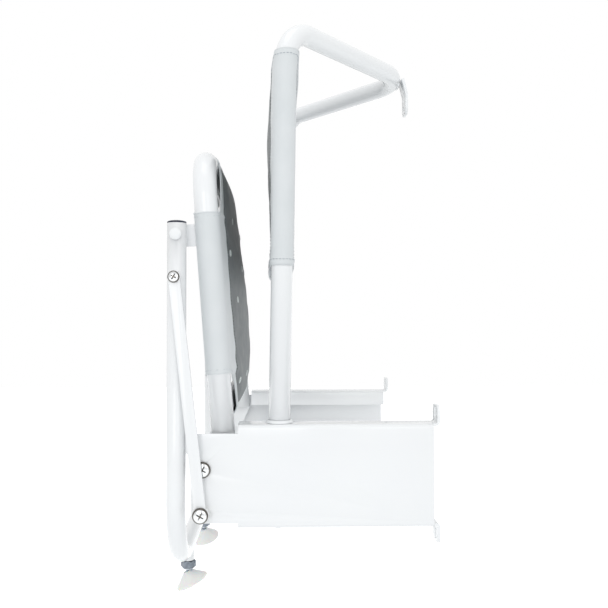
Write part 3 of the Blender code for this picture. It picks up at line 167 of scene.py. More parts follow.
# %% The floor's material
PAPER_GLOW = 0.62  # what the lit paper lacks to white
paper = bpy.data.materials.new("matt_white_paper")
paper.use_nodes = True
tree = paper.node_tree
tree.nodes.clear()
seen = white_rays(tree)
matt = add_node(tree, "ShaderNodeBsdfDiffuse", {"Color": linear("#F2F4F5")})
glow = add_node(tree, "ShaderNodeEmission", {"Color": (1, 1, 1, 1), "Strength": PAPER_GLOW})
lit = add_node(tree, "ShaderNodeAddShader", {0: matt.outputs[0], 1: glow.outputs[0]})
shown = add_node(tree, "ShaderNodeMixShader", {0: seen, 1: matt.outputs[0], 2: lit.outputs[0]})
# the paper is clear from below, so that a low view still shows the seat
below = add_node(tree, "ShaderNodeNewGeometry").outputs["Backfacing"]
clear = add_node(tree, "ShaderNodeBsdfTransparent")
one_sided = add_node(tree, "ShaderNodeMixShader", {0: below, 1: shown.outputs[0], 2: clear.outputs[0]})
add_node(tree, "ShaderNodeOutputMaterial", {"Surface": one_sided.outputs[0]})
print(paper.name)

# %% The floor
FLOOR_Z = -0.96  # where the feet stand when the seat is opened
FLOOR_REACH = 6
bm = bmesh.new()
bmesh.ops.create_grid(bm, x_segments=1, y_segments=1, size=FLOOR_REACH)
bmesh.ops.translate(bm, verts=bm.verts, vec=(0, 0, FLOOR_Z))
floor_mesh = bpy.data.meshes.new("floor")
bm.to_mesh(floor_mesh)
bm.free()
floor_mesh.materials.append(paper)
floor = add_object("floor", floor_mesh)
floor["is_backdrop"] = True
print("floor at", FLOOR_Z)

# %% The lamps
LAMPS = {
    # name: place, target, width, height, watts
    "front_left_softbox": ((2.55, -0.85, 0.22), (0.1, -0.2, -0.3), 1.0, 1.2, 8),
    "right_fill_softbox": ((2.3, 0.75, 0.25), (0.1, -0.2, -0.3), 1.0, 1.2, 4),
    "overhead_softbox": ((0.5, -0.3, 1.7), (0, -0.2, -0.3), 1.2, 1.2, 4),
}
for name, (place, target, width, height, watts) in LAMPS.items():
    lamp_data = bpy.data.lights.new(name, "AREA")
    lamp_data.shape = "RECTANGLE"
    lamp_data.size = width
    lamp_data.size_y = height
    lamp_data.energy = watts
    aim(add_object(name, lamp_data), place, target)
print("lamps", ", ".join(LAMPS))

# %% [markdown]
# ## A hard finish, from its measures
# Paint, plating and moulded plastic differ in colour and gloss, but the eye reads all of them by the
# same three things: two close shades clouded together, a gloss that isn't quite even, and a fine
# relief that bends the reflections. One function builds all of that from real lengths in millimetres.
# Object coordinates carry the noise, so the grain has the same size on every piece.

# %% Building a hard finish
NOISE_ENDS = {1: 0.3, 2: 0.7}  # nearly all values of a noise lie between these


def surface(name, shades, cloud, gloss, patch, relief, grain, strength=0.3, **settings):
    """A Principled material. The sizes of clouds, patches and grain and the relief's height are in mm."""
    material = bpy.data.materials.new(name)
    material.use_nodes = True
    tree = material.node_tree
    shader = tree.nodes["Principled BSDF"]
    for key, value in settings.items():
        shader.inputs[key.replace("_", " ")].default_value = value
    place = add_node(tree, "ShaderNodeTexCoord").outputs["Object"]
    clouds = add_node(tree, "ShaderNodeTexNoise", {"Vector": place, "Scale": 1 / (cloud * MM), "Detail": 3.0})
    share = add_node(tree, "ShaderNodeMapRange", {0: clouds.outputs[0], **NOISE_ENDS})
    first, second = (linear(shade) for shade in shades)
    paint = add_node(tree, "ShaderNodeMix", {0: share.outputs[0], 6: first, 7: second}, data_type="RGBA")
    patches = add_node(tree, "ShaderNodeTexNoise", {"Vector": place, "Scale": 1 / (patch * MM)})
    dull = add_node(tree, "ShaderNodeMapRange",
                    {0: patches.outputs[0], **NOISE_ENDS, 3: gloss[0], 4: gloss[1]})
    bumps = add_node(tree, "ShaderNodeTexNoise", {"Vector": place, "Scale": 1 / (grain * MM), "Detail": 1.0})
    bent = add_node(tree, "ShaderNodeBump",
                    {"Height": bumps.outputs[0], "Distance": relief * MM, "Strength": strength})
    tree.links.new(paint.outputs[2], shader.inputs["Base Color"])
    tree.links.new(dull.outputs[0], shader.inputs["Roughness"])
    tree.links.new(bent.outputs[0], shader.inputs["Normal"])
    return material


# %% [markdown]
# ## Powder coated steel
# The frames, brackets and struts are steel, sprayed with polyester powder and baked. The powder
# melts to a glossy, faintly cool white skin. Its orange peel is 2 to 4 mm long but only micrometres
# high, so a flat web looks even, and the peel shows as a slight shiver in the highlights alone.

# %% Powder coated steel
white_powder_coat = surface("polyester_powder_coat", ("#F1F3F5", "#F3F5F6"), cloud=120, gloss=(0.23, 0.27),
                            patch=40, relief=0.005, grain=3.2, strength=0.08, Metallic=0.0, IOR=1.5,
                            Coat_Weight=0.4, Coat_Roughness=0.08)
print(white_powder_coat.name)

# %% [markdown]
# ## Chrome and zinc on steel
# The pivot bolts are chrome plated over a turned surface: almost a mirror, with fine marks of the
# lathe. A brownish dark grey is painted into the recess as painted shade and round the rim as a
# painted dark reflection, and the bolt meshes carry where it goes as a point attribute. The washers and
# foot stems are blue zinc, duller and cloudy, and the feet's lock nuts are zinc, painted dark grey as a dark
# reflection.
# All are metals, so the colour goes on the base and the IOR stays as it is.

# %% Metals
# real tooling marks are 0.1 mm apart, and are drawn at 0.6 mm so that a close view can show them
bright_chrome = surface("chrome_plated_steel", ("#D2D4D5", "#E0E2E3"), cloud=5, gloss=(0.08, 0.2), patch=2.2,
                        relief=0.006, grain=0.6, Metallic=1.0)
tree = bright_chrome.node_tree
shader = tree.nodes["Principled BSDF"]
plain_chrome = shader.inputs["Base Color"].links[0].from_socket
# brownish dark grey where the bolt meshes mark it: painted shade in the recess, a painted dark reflection at
# the rim
painted_shade = add_node(tree, "ShaderNodeAttribute", attribute_name="painted_shade").outputs["Fac"]
painted_dark_chrome = add_node(tree, "ShaderNodeMix", {0: painted_shade, 6: plain_chrome, 7: linear("#5F5B56")}, data_type="RGBA")
tree.links.new(painted_dark_chrome.outputs[2], shader.inputs["Base Color"])
blue_zinc = surface("blue_zinc_plated_steel", ("#A9B2BE", "#C2C8CD"), cloud=5, gloss=(0.26, 0.4), patch=2.2,
                    relief=0.01, grain=1.2, Metallic=1.0)
# the lock nuts' dark grey is a painted dark reflection, as the shaded facets of a bright nut show it
dark_painted_zinc = surface("zinc_plated_steel_painted_dark", ("#5C636B", "#858C94"), cloud=4, gloss=(0.28, 0.42),
                      patch=2.5, relief=0.01, grain=1.2, Metallic=1.0)
print(bright_chrome.name, blue_zinc.name, dark_painted_zinc.name)

# %% [markdown]
# ## Plastics and rubber
# The collars and pin caps are injection moulded in white polypropylene, with a fine matt grain from
# the mould. The tube plugs are dark polyethylene, waxy and a little blue. Bushes are natural nylon,
# which lets some light in. The suction cups are soft white PVC: smooth, slightly clear at the lip
# and dusted with fine marks.

# %% Plastics and rubber
def moulded(name, shades, gloss, grain, ior):
    """A moulded plastic. The mould's spark grain is about 0.1 mm, and is drawn coarser to show."""
    return surface(name, shades, cloud=18, gloss=gloss, patch=6, relief=0.02, grain=grain, Metallic=0.0,
                   IOR=ior)


white_polypropylene = moulded("white_polypropylene", ("#EEF1F3", "#F2F4F5"), (0.38, 0.48), 0.7, 1.49)
dark_polyethylene = moulded("dark_polyethylene", ("#12182F", "#1B2138"), (0.32, 0.42), 0.8, 1.51)
natural_nylon = moulded("natural_nylon", ("#E3E0D6", "#EAE8E0"), (0.4, 0.5), 0.7, 1.53)
soft_white_pvc = surface("soft_white_pvc", ("#EFF1EF", "#F3F4F2"), cloud=18, gloss=(0.3, 0.4), patch=6,
                         relief=0.02, grain=1.5, strength=0.25, Metallic=0.0, IOR=1.52,
                         Subsurface_Weight=0.2, Subsurface_Scale=4 * MM)
print(white_polypropylene.name, dark_polyethylene.name, natural_nylon.name, soft_white_pvc.name)

# %% [markdown]
# ## Geometry Nodes: small helpers
# Much on this seat follows a path: the bent tubes, the weld beads, the stitches and the screw
# threads. Geometry Nodes sweep or place one small shape along a path, so a change of the path
# carries everything with it. Each tree gets named inputs, a seed mesh goes in, and a plain mesh
# comes out.

# %% Geometry Nodes: a tree, a seed and a plain mesh
def new_tree(name, inputs):
    """A tree with a geometry in and out and named inputs. Returns it, its inputs and its way out."""
    tree = bpy.data.node_groups.new(name, "GeometryNodeTree")
    tree.interface.new_socket("Geometry", in_out="INPUT", socket_type="NodeSocketGeometry")
    for label, (kind, value) in inputs.items():
        socket = tree.interface.new_socket(label, in_out="INPUT", socket_type="NodeSocket" + kind)
        if value is not None:
            socket.default_value = value
    tree.interface.new_socket("Geometry", in_out="OUTPUT", socket_type="NodeSocketGeometry")
    given = tree.nodes.new("NodeGroupInput").outputs
    return tree, given, tree.nodes.new("NodeGroupOutput").inputs[0]


def finish_tree(tree, geometry, material, way_out):
    """Ends a tree in Realize Instances and Set Material."""
    real = add_node(tree, "GeometryNodeRealizeInstances", {0: geometry})
    painted = add_node(tree, "GeometryNodeSetMaterial", {"Geometry": real.outputs[0], "Material": material})
    tree.links.new(painted.outputs[0], way_out)


def set_inputs(modifier, values):
    """Sets a modifier's inputs by the sockets' identifiers, looked up by name."""
    for item in modifier.node_group.interface.items_tree:
        if item.item_type == "SOCKET" and item.in_out == "INPUT" and item.name in values:
            modifier[item.identifier] = values[item.name]


def plain_mesh(made):
    """The mesh that an object's modifiers make."""
    evaluated = made.evaluated_get(bpy.context.evaluated_depsgraph_get())
    mesh = bpy.data.meshes.new_from_object(evaluated)
    before = made.data
    bpy.data.objects.remove(made)
    bpy.data.meshes.remove(before)
    return mesh


def grown(name, seed_mesh, tree, values):
    """Runs a tree on a seed mesh and returns the result as a plain mesh."""
    seed = add_object(name + "_seed", seed_mesh)
    modifier = seed.modifiers.new(name, "NODES")
    modifier.node_group = tree
    set_inputs(modifier, values)
    mesh = plain_mesh(seed)
    mesh.name = name
    return mesh


def path_mesh(name, paths, bends=None):
    """Lines of points as one mesh. Each point may carry the radius of its bend."""
    points, edges, radii = [], [], []
    for number, (path, closed) in enumerate(paths):
        first = len(points)
        points += [tuple(point) for point in path]
        edges += [(first + i, first + i + 1) for i in range(len(path) - 1)]
        edges += [(len(points) - 1, first)] if closed else []
        radii += bends[number] if bends else [0.0] * len(path)
    mesh = bpy.data.meshes.new(name)
    mesh.from_pydata(points, edges, [])
    mesh.attributes.new("bend", "FLOAT", "POINT").data.foreach_set("value", radii)
    return mesh


# %% Finished pieces
MERGE_DISTANCE = 0.01 * MM


def tidy_mesh(mesh):
    """Merges doubles and turns all faces outwards."""
    bm = bmesh.new()
    bm.from_mesh(mesh)
    bmesh.ops.remove_doubles(bm, verts=bm.verts, dist=MERGE_DISTANCE)
    bmesh.ops.recalc_face_normals(bm, faces=bm.faces)
    bm.to_mesh(mesh)
    bm.free()
    return mesh


def put(name, mesh, body, slot, *nodes, material=None):
    """A finished piece at the origin. It rides on a body and may stand for CAD nodes."""
    if material:
        mesh.materials.clear()
        mesh.materials.append(material)
    made = add_object(name, mesh)
    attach(made, body)
    if nodes:
        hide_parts(*nodes)
    return made


# %% [markdown]
# ## Bent tubes
# All three frames are one steel tube each, bent cold on a round former, so every bend is an arc with
# its centre line at the former's radius. A path of sharp corners goes in, Fillet Curve rounds each
# corner to the radius that its point carries, and Curve to Mesh sweeps a circle along it. Solidify
# then gives the tube its wall, so that an open end looks like a cut tube.

# %% The tree of the bent tubes
tube_tree, given, way_out = new_tree("bent_tube", {
    "Radius": ("Float", 10 * MM), "Sides": ("Int", 48), "Steps": ("Int", 20), "Material": ("Material", None)})
line = add_node(tube_tree, "GeometryNodeMeshToCurve", {0: given["Geometry"]})
bend = add_node(tube_tree, "GeometryNodeInputNamedAttribute", {"Name": "bend"}, data_type="FLOAT")
rounded = add_node(tube_tree, "GeometryNodeFilletCurve",
                   {"Curve": line.outputs[0], "Count": given["Steps"], "Radius": bend.outputs[0]},
                   mode="POLY")
ring = add_node(tube_tree, "GeometryNodeCurvePrimitiveCircle",
                {"Resolution": given["Sides"], "Radius": given["Radius"]}, mode="RADIUS")
swept = add_node(tube_tree, "GeometryNodeCurveToMesh",
                 {"Curve": rounded.outputs[0], "Profile Curve": ring.outputs[0]})
soft = add_node(tube_tree, "GeometryNodeSetShadeSmooth", {"Geometry": swept.outputs[0]})
finish_tree(tube_tree, soft.outputs[0], given["Material"], way_out)

# %% A bent tube
TUBE_WALL = 1.5 * MM


def bent_tube(name, corners, bends, radius, body, *nodes):
    """One bent tube with a real wall, open at both ends."""
    path = path_mesh(name, [(corners, False)], [[0.0, *bends, 0.0]])
    mesh = tidy_mesh(grown(name, path, tube_tree, {"Radius": radius, "Material": white_powder_coat}))
    tube = add_object(name, mesh)
    thick = tube.modifiers.new("wall", "SOLIDIFY")
    thick.thickness = TUBE_WALL
    thick.offset = -1
    made = put(name, plain_mesh(tube), body, "powder_coated_steel", *nodes)
    print(name, len(made.data.polygons), "faces, size in mm", [round(v / MM) for v in made.dimensions])


# %% [markdown]
# ## The frames' measures
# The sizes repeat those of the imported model, because a dressed piece has to lie on its node. Places
# on the seat are given along it from the hinge, and behind the hinge at a right angle to it.

# %% Places on the seat
UPRIGHT_X = 206 * MM
SEAT_X = 206 * MM
LEG_X = 219.6 * MM
HINGE = Vector((0, -275.2 * MM, -495.5 * MM))
LEG_PIVOT = Vector((0, -306.2 * MM, -225.4 * MM))
STRUT_FOOT = Vector((0, -276.4 * MM, -544.8 * MM))
STRUT_HEAD = Vector((0, -307.4 * MM, -274.7 * MM))
UPRIGHT_FOOT = Vector((0, -188.9 * MM, -559.6 * MM))
UPRIGHT_LEAN = math.radians(0.87)
SEAT_LEAN = math.radians(4.43)
SEAT_OFFSET = 25 * MM


def seat_point(x, along, behind):
    """A place on the seat, along it from the hinge and behind the hinge."""
    y = HINGE.y - along * math.sin(SEAT_LEAN) + behind * math.cos(SEAT_LEAN)
    z = HINGE.z + along * math.cos(SEAT_LEAN) + behind * math.sin(SEAT_LEAN)
    return Vector((x, y, z))


def upright_y(z):
    """Y of the uprights' axis at a height: they lean back a little."""
    return UPRIGHT_FOOT.y + (z - UPRIGHT_FOOT.z) * math.tan(UPRIGHT_LEAN)


# %% The back's frame: two uprights and the V to the wall
BACK_TUBE_RADIUS = 12.7 * MM
V_Z = 26 * MM
V_ANGLE = math.radians(40.593)
V_TIP_RISE = 3 * MM
V_CORNER_BEND = 45 * MM
V_TIP_BEND = 60 * MM
v_corner_y = upright_y(V_Z)
v_tip = Vector((0, v_corner_y + UPRIGHT_X * math.tan(V_ANGLE), V_Z + V_TIP_RISE))
right_half = [Vector((-UPRIGHT_X, v_corner_y, V_Z)), Vector((-UPRIGHT_X, UPRIGHT_FOOT.y, UPRIGHT_FOOT.z))]
left_half = [Vector((-point.x, point.y, point.z)) for point in reversed(right_half)]
bent_tube("back_tube", left_half + [v_tip] + right_half, [V_CORNER_BEND, V_TIP_BEND, V_CORNER_BEND],
          BACK_TUBE_RADIUS, "wall_frame", "back_frame")

# %% The seat's frame: a U with its bar at the front
SEAT_TUBE_RADIUS = 14 * MM
SEAT_BEND = 55 * MM
SEAT_REACH = 366 * MM
TUBE_START = 20.7 * MM
seat_corners = [seat_point(side * SEAT_X, along, SEAT_OFFSET) for side, along in
                ((1, TUBE_START), (1, SEAT_REACH), (-1, SEAT_REACH), (-1, TUBE_START))]
bent_tube("seat_tube", seat_corners, [SEAT_BEND] * 2, SEAT_TUBE_RADIUS, "seat", "seat_frame")

# %% The leg: a U with its bar at the floor
LEG_TUBE_RADIUS = 11.1 * MM
LEG_BEND = 78 * MM
LEG_TOP_Z = -211.9 * MM
LEG_BAR_Z = -611.0 * MM
leg_corners = [(side * LEG_X, LEG_PIVOT.y, z) for side, z in
               ((1, LEG_TOP_Z), (1, LEG_BAR_Z), (-1, LEG_BAR_Z), (-1, LEG_TOP_Z))]
bent_tube("leg_tube", leg_corners, [LEG_BEND] * 2, LEG_TUBE_RADIUS, "leg", "leg_frame")

# %% [markdown]
# ## Welds
# The hinge lugs, leg tabs, foot bosses and the wall plate are welded to the tubes before painting.
# A weld is a row of small overlapping puddles, about 1.5 mm apart. A sine of the length along the
# path swells and narrows the swept circle, which gives the ripple without modelling each puddle.

# %% The tree of the weld beads
BEAD_WAIST = 0.88  # the bead's radius between two puddles, as a share
bead_tree, given, way_out = new_tree("weld_bead", {
    "Radius": ("Float", 2 * MM), "Pitch": ("Float", 1.6 * MM), "Step": ("Float", 0.5 * MM),
    "Ripple": ("Float", 0.14), "Material": ("Material", None)})
line = add_node(bead_tree, "GeometryNodeMeshToCurve", {0: given["Geometry"]})
even = add_node(bead_tree, "GeometryNodeResampleCurve",
                {"Curve": line.outputs[0], "Length": given["Step"]}, mode="LENGTH")
length = add_node(bead_tree, "GeometryNodeSplineParameter").outputs["Length"]
turns = add_node(bead_tree, "ShaderNodeMath", {0: length, 1: given["Pitch"]}, operation="DIVIDE")
phase = add_node(bead_tree, "ShaderNodeMath", {0: turns.outputs[0], 1: math.pi}, operation="MULTIPLY")
wave = add_node(bead_tree, "ShaderNodeMath", {0: phase.outputs[0]}, operation="SINE")
hump = add_node(bead_tree, "ShaderNodeMath", {0: wave.outputs[0]}, operation="ABSOLUTE")
swell = add_node(bead_tree, "ShaderNodeMath", {0: hump.outputs[0], 1: given["Ripple"], 2: BEAD_WAIST},
                 operation="MULTIPLY_ADD")
ring = add_node(bead_tree, "GeometryNodeCurvePrimitiveCircle",
                {"Resolution": 10, "Radius": given["Radius"]}, mode="RADIUS")
swept = add_node(bead_tree, "GeometryNodeCurveToMesh",
                 {"Curve": even.outputs[0], "Profile Curve": ring.outputs[0], "Scale": swell.outputs[0],
                  "Fill Caps": True})
soft = add_node(bead_tree, "GeometryNodeSetShadeSmooth", {"Geometry": swept.outputs[0]})
finish_tree(bead_tree, soft.outputs[0], given["Material"], way_out)

# %% A weld bead
def weld_bead(name, paths, radius, body):
    """A rippled bead along each path, painted with what it holds."""
    values = {"Radius": radius, "Material": white_powder_coat}
    mesh = tidy_mesh(grown(name, path_mesh(name, paths), bead_tree, values))
    print(name, len(mesh.polygons), "faces")
    put(name, mesh, body, "powder_coated_steel")


# %% Beads round the foot bosses
FOOT_X = 98 * MM
BOSS_RADIUS = 7.5 * MM
BEAD_STAND_OFF = 0.4 * MM


def boss_ring(side, steps=40):
    """A ring round a foot boss, on the underside of the leg's bar."""
    first = Vector((0, 0, 1)).orthogonal().normalized()
    second = Vector((0, 0, 1)).cross(first)
    ring = []
    for i in range(steps):
        turn = 2 * math.pi * i / steps
        spoke = (first * math.cos(turn) + second * math.sin(turn)) * (BOSS_RADIUS + BEAD_STAND_OFF)
        depth = math.sqrt(LEG_TUBE_RADIUS ** 2 - spoke.y ** 2)
        ring.append(Vector((side * FOOT_X + spoke.x, LEG_PIVOT.y + spoke.y, LEG_BAR_Z - depth)))
    return ring


weld_bead("weld_beads_leg", [(boss_ring(side), True) for side in SIDES.values()], 1.5 * MM, "leg")

# %% Beads at the leg tabs and the hinge lugs
TAB_ALONG = 271.6 * MM  # the leg pin's place along the seat
TAB_ROOT = 26 * MM
LUG_TOP = 39.7 * MM
tube_edge = SEAT_OFFSET - SEAT_TUBE_RADIUS
SEAT_BEADS = [
    # from the plate's middle, first and last place along the seat, behind the hinge, points
    (2.4 * MM, TAB_ALONG - TAB_ROOT / 2, TAB_ALONG + TAB_ROOT / 2, tube_edge - 0.2 * MM, 14),
    (3.0 * MM, TUBE_START, LUG_TOP, tube_edge, 12),
]
seat_paths = []
for side in SIDES.values():
    for face in (-1, 1):
        for off, first, last, behind, points in SEAT_BEADS:
            x = side * SEAT_X + face * off
            line = [seat_point(x, along, behind) for along in np.linspace(first, last, points)]
            seat_paths.append((line, False))
weld_bead("weld_beads_seat", seat_paths, 1.3 * MM, "seat")

# %% The bead at the wall plate
PLATE_BEAD_HALF = 12 * MM
PLATE_BEAD_TURN = math.radians(-38)  # the strap meets the tube a little under its rearmost line
V_TIP_WALL_GAP = 9.8 * MM
bead_y = BACK_TUBE_RADIUS * math.cos(PLATE_BEAD_TURN)
bead_z = BACK_TUBE_RADIUS * math.sin(PLATE_BEAD_TURN)
plate_bead = []
for x in np.linspace(-PLATE_BEAD_HALF, PLATE_BEAD_HALF, 20):
    from_wall = V_TIP_BEND - math.sqrt(V_TIP_BEND ** 2 - x ** 2)  # the bent tube falls back from the tip
    axis_y = -V_TIP_WALL_GAP - BACK_TUBE_RADIUS - from_wall
    plate_bead.append(Vector((x, axis_y + bead_y, V_Z + V_TIP_RISE + bead_z)))
weld_bead("weld_bead_wall_plate", [(plate_bead, False)], 2.0 * MM, "wall_frame")

# %% [markdown]
# ## Turned pieces
# Bolt heads, caps, nuts, the collars and the suction cups are all turned or moulded round. Each is a
# profile of radius and height, spun about its axis. A third word in the profile makes that ring a
# hexagon, for the nuts' flats.

# %% Spinning a profile
SHARP_ANGLE = math.radians(32)


def in_mm(profile):
    """A profile whose radii and heights are given in mm."""
    return [(radius * MM, height * MM, *form) for radius, height, *form in profile]


def spun(profile, base, axis, sides=48):
    """A closed turned shape as a bmesh. The profile is a loop of (radius, height[, "hex"])."""
    axis = Vector(axis).normalized()
    side = Vector((0, 1, 0)) if abs(axis.y) < 0.9 else Vector((1, 0, 0))
    side = (side - axis * side.dot(axis)).normalized()
    other = axis.cross(side)
    bm = bmesh.new()
    rings = []
    for radius, height, *form in profile:
        centre = Vector(base) + axis * height
        if radius == 0:
            rings.append([bm.verts.new(centre)])
            continue
        ring = []
        for i in range(sides):
            turn = 2 * math.pi * i / sides
            reach = radius / math.cos((turn % (math.pi / 3)) - math.pi / 6) if form else radius
            spoke = side * math.cos(turn) + other * math.sin(turn)
            ring.append(bm.verts.new(centre + spoke * reach))
        rings.append(ring)
    for ring_a, ring_b in zip(rings, rings[1:] + rings[:1]):
        if len(ring_a) == len(ring_b) == 1:
            continue
        for i in range(sides):
            j = (i + 1) % sides
            corners = [ring_a[i % len(ring_a)], ring_a[j % len(ring_a)],
                       ring_b[j % len(ring_b)], ring_b[i % len(ring_b)]]
            bm.faces.new(list(dict.fromkeys(corners)))
    bmesh.ops.recalc_face_normals(bm, faces=bm.faces)
    return bm


def mesh_of(bm, name, sharp_angle=SHARP_ANGLE):
    """A mesh from a bmesh, smooth but for its sharp edges."""
    mesh = bpy.data.meshes.new(name)
    bm.to_mesh(mesh)
    bm.free()
    mesh.shade_smooth()
    mesh.set_sharp_from_angle(angle=sharp_angle)
    return mesh


def cut_out(mesh, tool_bm, name):
    """The mesh with the tool's shape taken out of it."""
    body = add_object(name, mesh)
    tool = add_object(name + "_tool", mesh_of(tool_bm, name + "_tool"))
    cutter = body.modifiers.new("cut", "BOOLEAN")
    cutter.operation = "DIFFERENCE"
    cutter.solver = "EXACT"
    cutter.object = tool
    result = plain_mesh(body)
    bpy.data.objects.remove(tool)
    result.set_sharp_from_angle(angle=SHARP_ANGLE)
    return result


def loft(bm, rings):
    """Walls between rings of places, with a lid on the first and on the last."""
    corners = [[bm.verts.new(place) for place in ring] for ring in rings]
    for ring_a, ring_b in zip(corners, corners[1:]):
        for i in range(len(ring_a)):
            j = (i + 1) % len(ring_a)
            bm.faces.new((ring_a[i], ring_a[j], ring_b[j], ring_b[i]))
    bm.faces.new(corners[0])
    bm.faces.new(corners[-1])
    bmesh.ops.recalc_face_normals(bm, faces=bm.faces)
    return bm


def dome(radius, height, rim_share=0.3, steps=9, edge=0.35 * MM):
    """Profile points of a domed head: a short rim with a broken edge, then a low arc."""
    rim = height * rim_share
    points = [(radius - edge, 0), (radius, edge), (radius, rim)]
    for i in range(1, steps):
        turn = math.pi / 2 * i / steps
        points.append((radius * math.cos(turn), rim + (height - rim) * math.sin(turn)))
    return points + [(0, height)]


# %% [markdown]
# ## Cross-recess bolts
# The heads at the seat's hinge, at the struts' feet and at the struts' tops are domed and take a
# cross driver. The recess is a plus that narrows as it goes down, taken out with an exact Boolean,
# so that its walls catch the light as on the real bolt.

# %% The cross recess
RECESS_TURN = math.radians(28)
RECESS_SPAN = 0.56  # of the head's diameter
RECESS_WIDTH = 1.5 * MM
RECESS_DEPTH = 2.4 * MM
RECESS_ABOVE = 1.2 * MM  # how far the cutter stands out of the head
RECESS_RINGS = ((RECESS_ABOVE, 1.15), (0.0, 1.0), (-RECESS_DEPTH, 0.5))  # height, share of the span


def cross_recess(centre, outwards, span):
    """A plus-shaped cutter that narrows downwards. Its axis is X."""
    rings = []
    for height, share in RECESS_RINGS:
        long = span / 2 * share
        short = RECESS_WIDTH / 2 * (0.6 + 0.4 * share)  # an arm narrows less than the span does
        arm = [Vector((long, -short)), Vector((long, short)), Vector((short, short))]
        plus = [point @ Matrix.Rotation(RECESS_TURN - quarter * math.pi / 2, 2)
                for quarter in range(4) for point in arm]
        rings.append([centre + Vector((outwards * height, *point)) for point in plus])
    return loft(bmesh.new(), rings)


# %% Bolts with a cross recess
BOLT_CHAMFER = 0.5 * MM
PAINTED_SHADE_RECESS = 0.33  # of the head's diameter, where the painted shade in the recess ends
PAINTED_REFLECTION_RIM = 0.43     # and where the painted dark reflection round the rim starts
BOLTS = {
    # in mm: pivot, seat of the head, end of the shank, shank, head, head's height, body
    "hinge_bolt": (HINGE, 225.3, 192.0, 8, 18.6, 4.2, "wall_frame"),
    "strut_bolt": (STRUT_FOOT, 236.4, 212.7, 8, 18.2, 5.0, "wall_frame"),
    "strut_screw": (STRUT_HEAD, 236.4, 200.7, 6, 13.6, 4.0, "leg"),
}


def headed_bolt(node, side, pivot, seat_x, end_x, shank, head, head_height, body):
    """A bolt with a domed and recessed head, and with its painted shade and painted dark reflection."""
    name = node + "_dressed"
    base = Vector((side * seat_x, pivot.y, pivot.z))
    out = Vector((side, 0, 0))
    length = seat_x - end_x
    profile = [(0, -length), (shank / 2 - BOLT_CHAMFER, -length), (shank / 2, BOLT_CHAMFER - length),
               (shank / 2, 0)]
    mesh = mesh_of(spun(profile + dome(head / 2, head_height), base, out), name)
    mesh = cut_out(mesh, cross_recess(base + out * head_height, side, head * RECESS_SPAN), name)
    # a point attribute marks the recess for painted shade and the rim for a painted dark reflection
    painted_shades = []
    for vertex in mesh.vertices:
        rise = (vertex.co - base).dot(out)
        radius = (vertex.co - base - out * rise).length
        in_recess = radius < head * PAINTED_SHADE_RECESS and rise < head_height - RECESS_ABOVE
        painted_shades.append(1.0 if in_recess or radius > head * PAINTED_REFLECTION_RIM else 0.0)
    mesh.attributes.new("painted_shade", "FLOAT", "POINT").data.foreach_set("value", painted_shades)
    return put(name, mesh, body, "chrome", node, material=bright_chrome)


for side_name, side in SIDES.items():
    for name, (pivot, seat_x, end_x, shank, head, height, body) in BOLTS.items():
        made = headed_bolt(f"{side_name}_{name}", side, pivot, seat_x * MM, end_x * MM, shank * MM,
                           head * MM, height * MM, body)
print("bolts", 2 * len(BOLTS), "faces of the last", len(made.data.polygons))

# %% [markdown]
# ## Pin caps, plugs and collars
# A white cap snaps over each leg pin, a dark plug closes each upper end of the leg, and a white
# ring hides the gap where an upright enters its bracket. They are small mouldings, so soft edges
# matter more than size: every rim gets a small radius.

# %% Caps, plugs and collars
UP = (0, 0, 1)
DOWN = (0, 0, -1)
PIN_CAP_X = 231.0 * MM
BRACKET_TOP_Z = -444.5 * MM
COLLAR_GAP = 0.3 * MM
pin_cap = in_mm([(0, 2.6), (5.7, 2.6), (5.7, 0)]) + dome(6.9 * MM, 4.6 * MM, 0.4)
plug_dome = [(11.1 * math.cos(t), 1.3 + 2.2 * math.sin(t)) for t in np.linspace(0.15, 1.45, 9)]
leg_plug = in_mm([(0, -9.9), (8.8, -9.9), (9.3, -9.0), (9.3, 0.3), (10.7, 0.3), (11.1, 0.7), (11.1, 1.3),
                  *plug_dome, (0, 3.5)])
collar = in_mm([(13.0, 0), (15.3, 0), (15.3, 1.6), (15.0, 2.5), (14.3, 3.2), (13.4, 3.5), (13.0, 3.4)])


def turned_piece(name, node, profile, base, axis, body, slot, material, sides=48):
    """A spun profile as a finished piece that stands for one CAD node."""
    mesh = mesh_of(spun(profile, base, axis, sides), name)
    return put(name, mesh, body, slot, node, material=material)


for side_name, side in SIDES.items():
    cap_base = (side * PIN_CAP_X, LEG_PIVOT.y, LEG_PIVOT.z)
    turned_piece(f"{side_name}_pin_cap_dressed", f"{side_name}_leg_pin_cap", pin_cap, cap_base,
                 (side, 0, 0), "leg", "white_plastic", white_polypropylene)
    plug_base = (side * LEG_X, LEG_PIVOT.y, LEG_TOP_Z)
    turned_piece(f"{side_name}_leg_plug_dressed", f"{side_name}_leg_plug", leg_plug, plug_base, UP, "leg",
                 "black_plastic", dark_polyethylene)
    collar_base = (side * UPRIGHT_X, upright_y(BRACKET_TOP_Z), BRACKET_TOP_Z + COLLAR_GAP)
    turned_piece(f"{side_name}_collar_dressed", f"{side_name}_upright_collar", collar, collar_base, UP,
                 "wall_frame", "white_plastic", white_polypropylene, 64)
print("caps, plugs and collars", 3 * len(SIDES))

# %% [markdown]
# ## Feet
# Each foot is a threaded stem that screws into a boss under the leg's bar. A lock nut holds its
# height, a pressed flange carries the load, and its ball sits in a soft suction cup, so that the
# cup finds the floor's slope. The thread is a four-sided ridge, swept along a Geometry Nodes spiral.

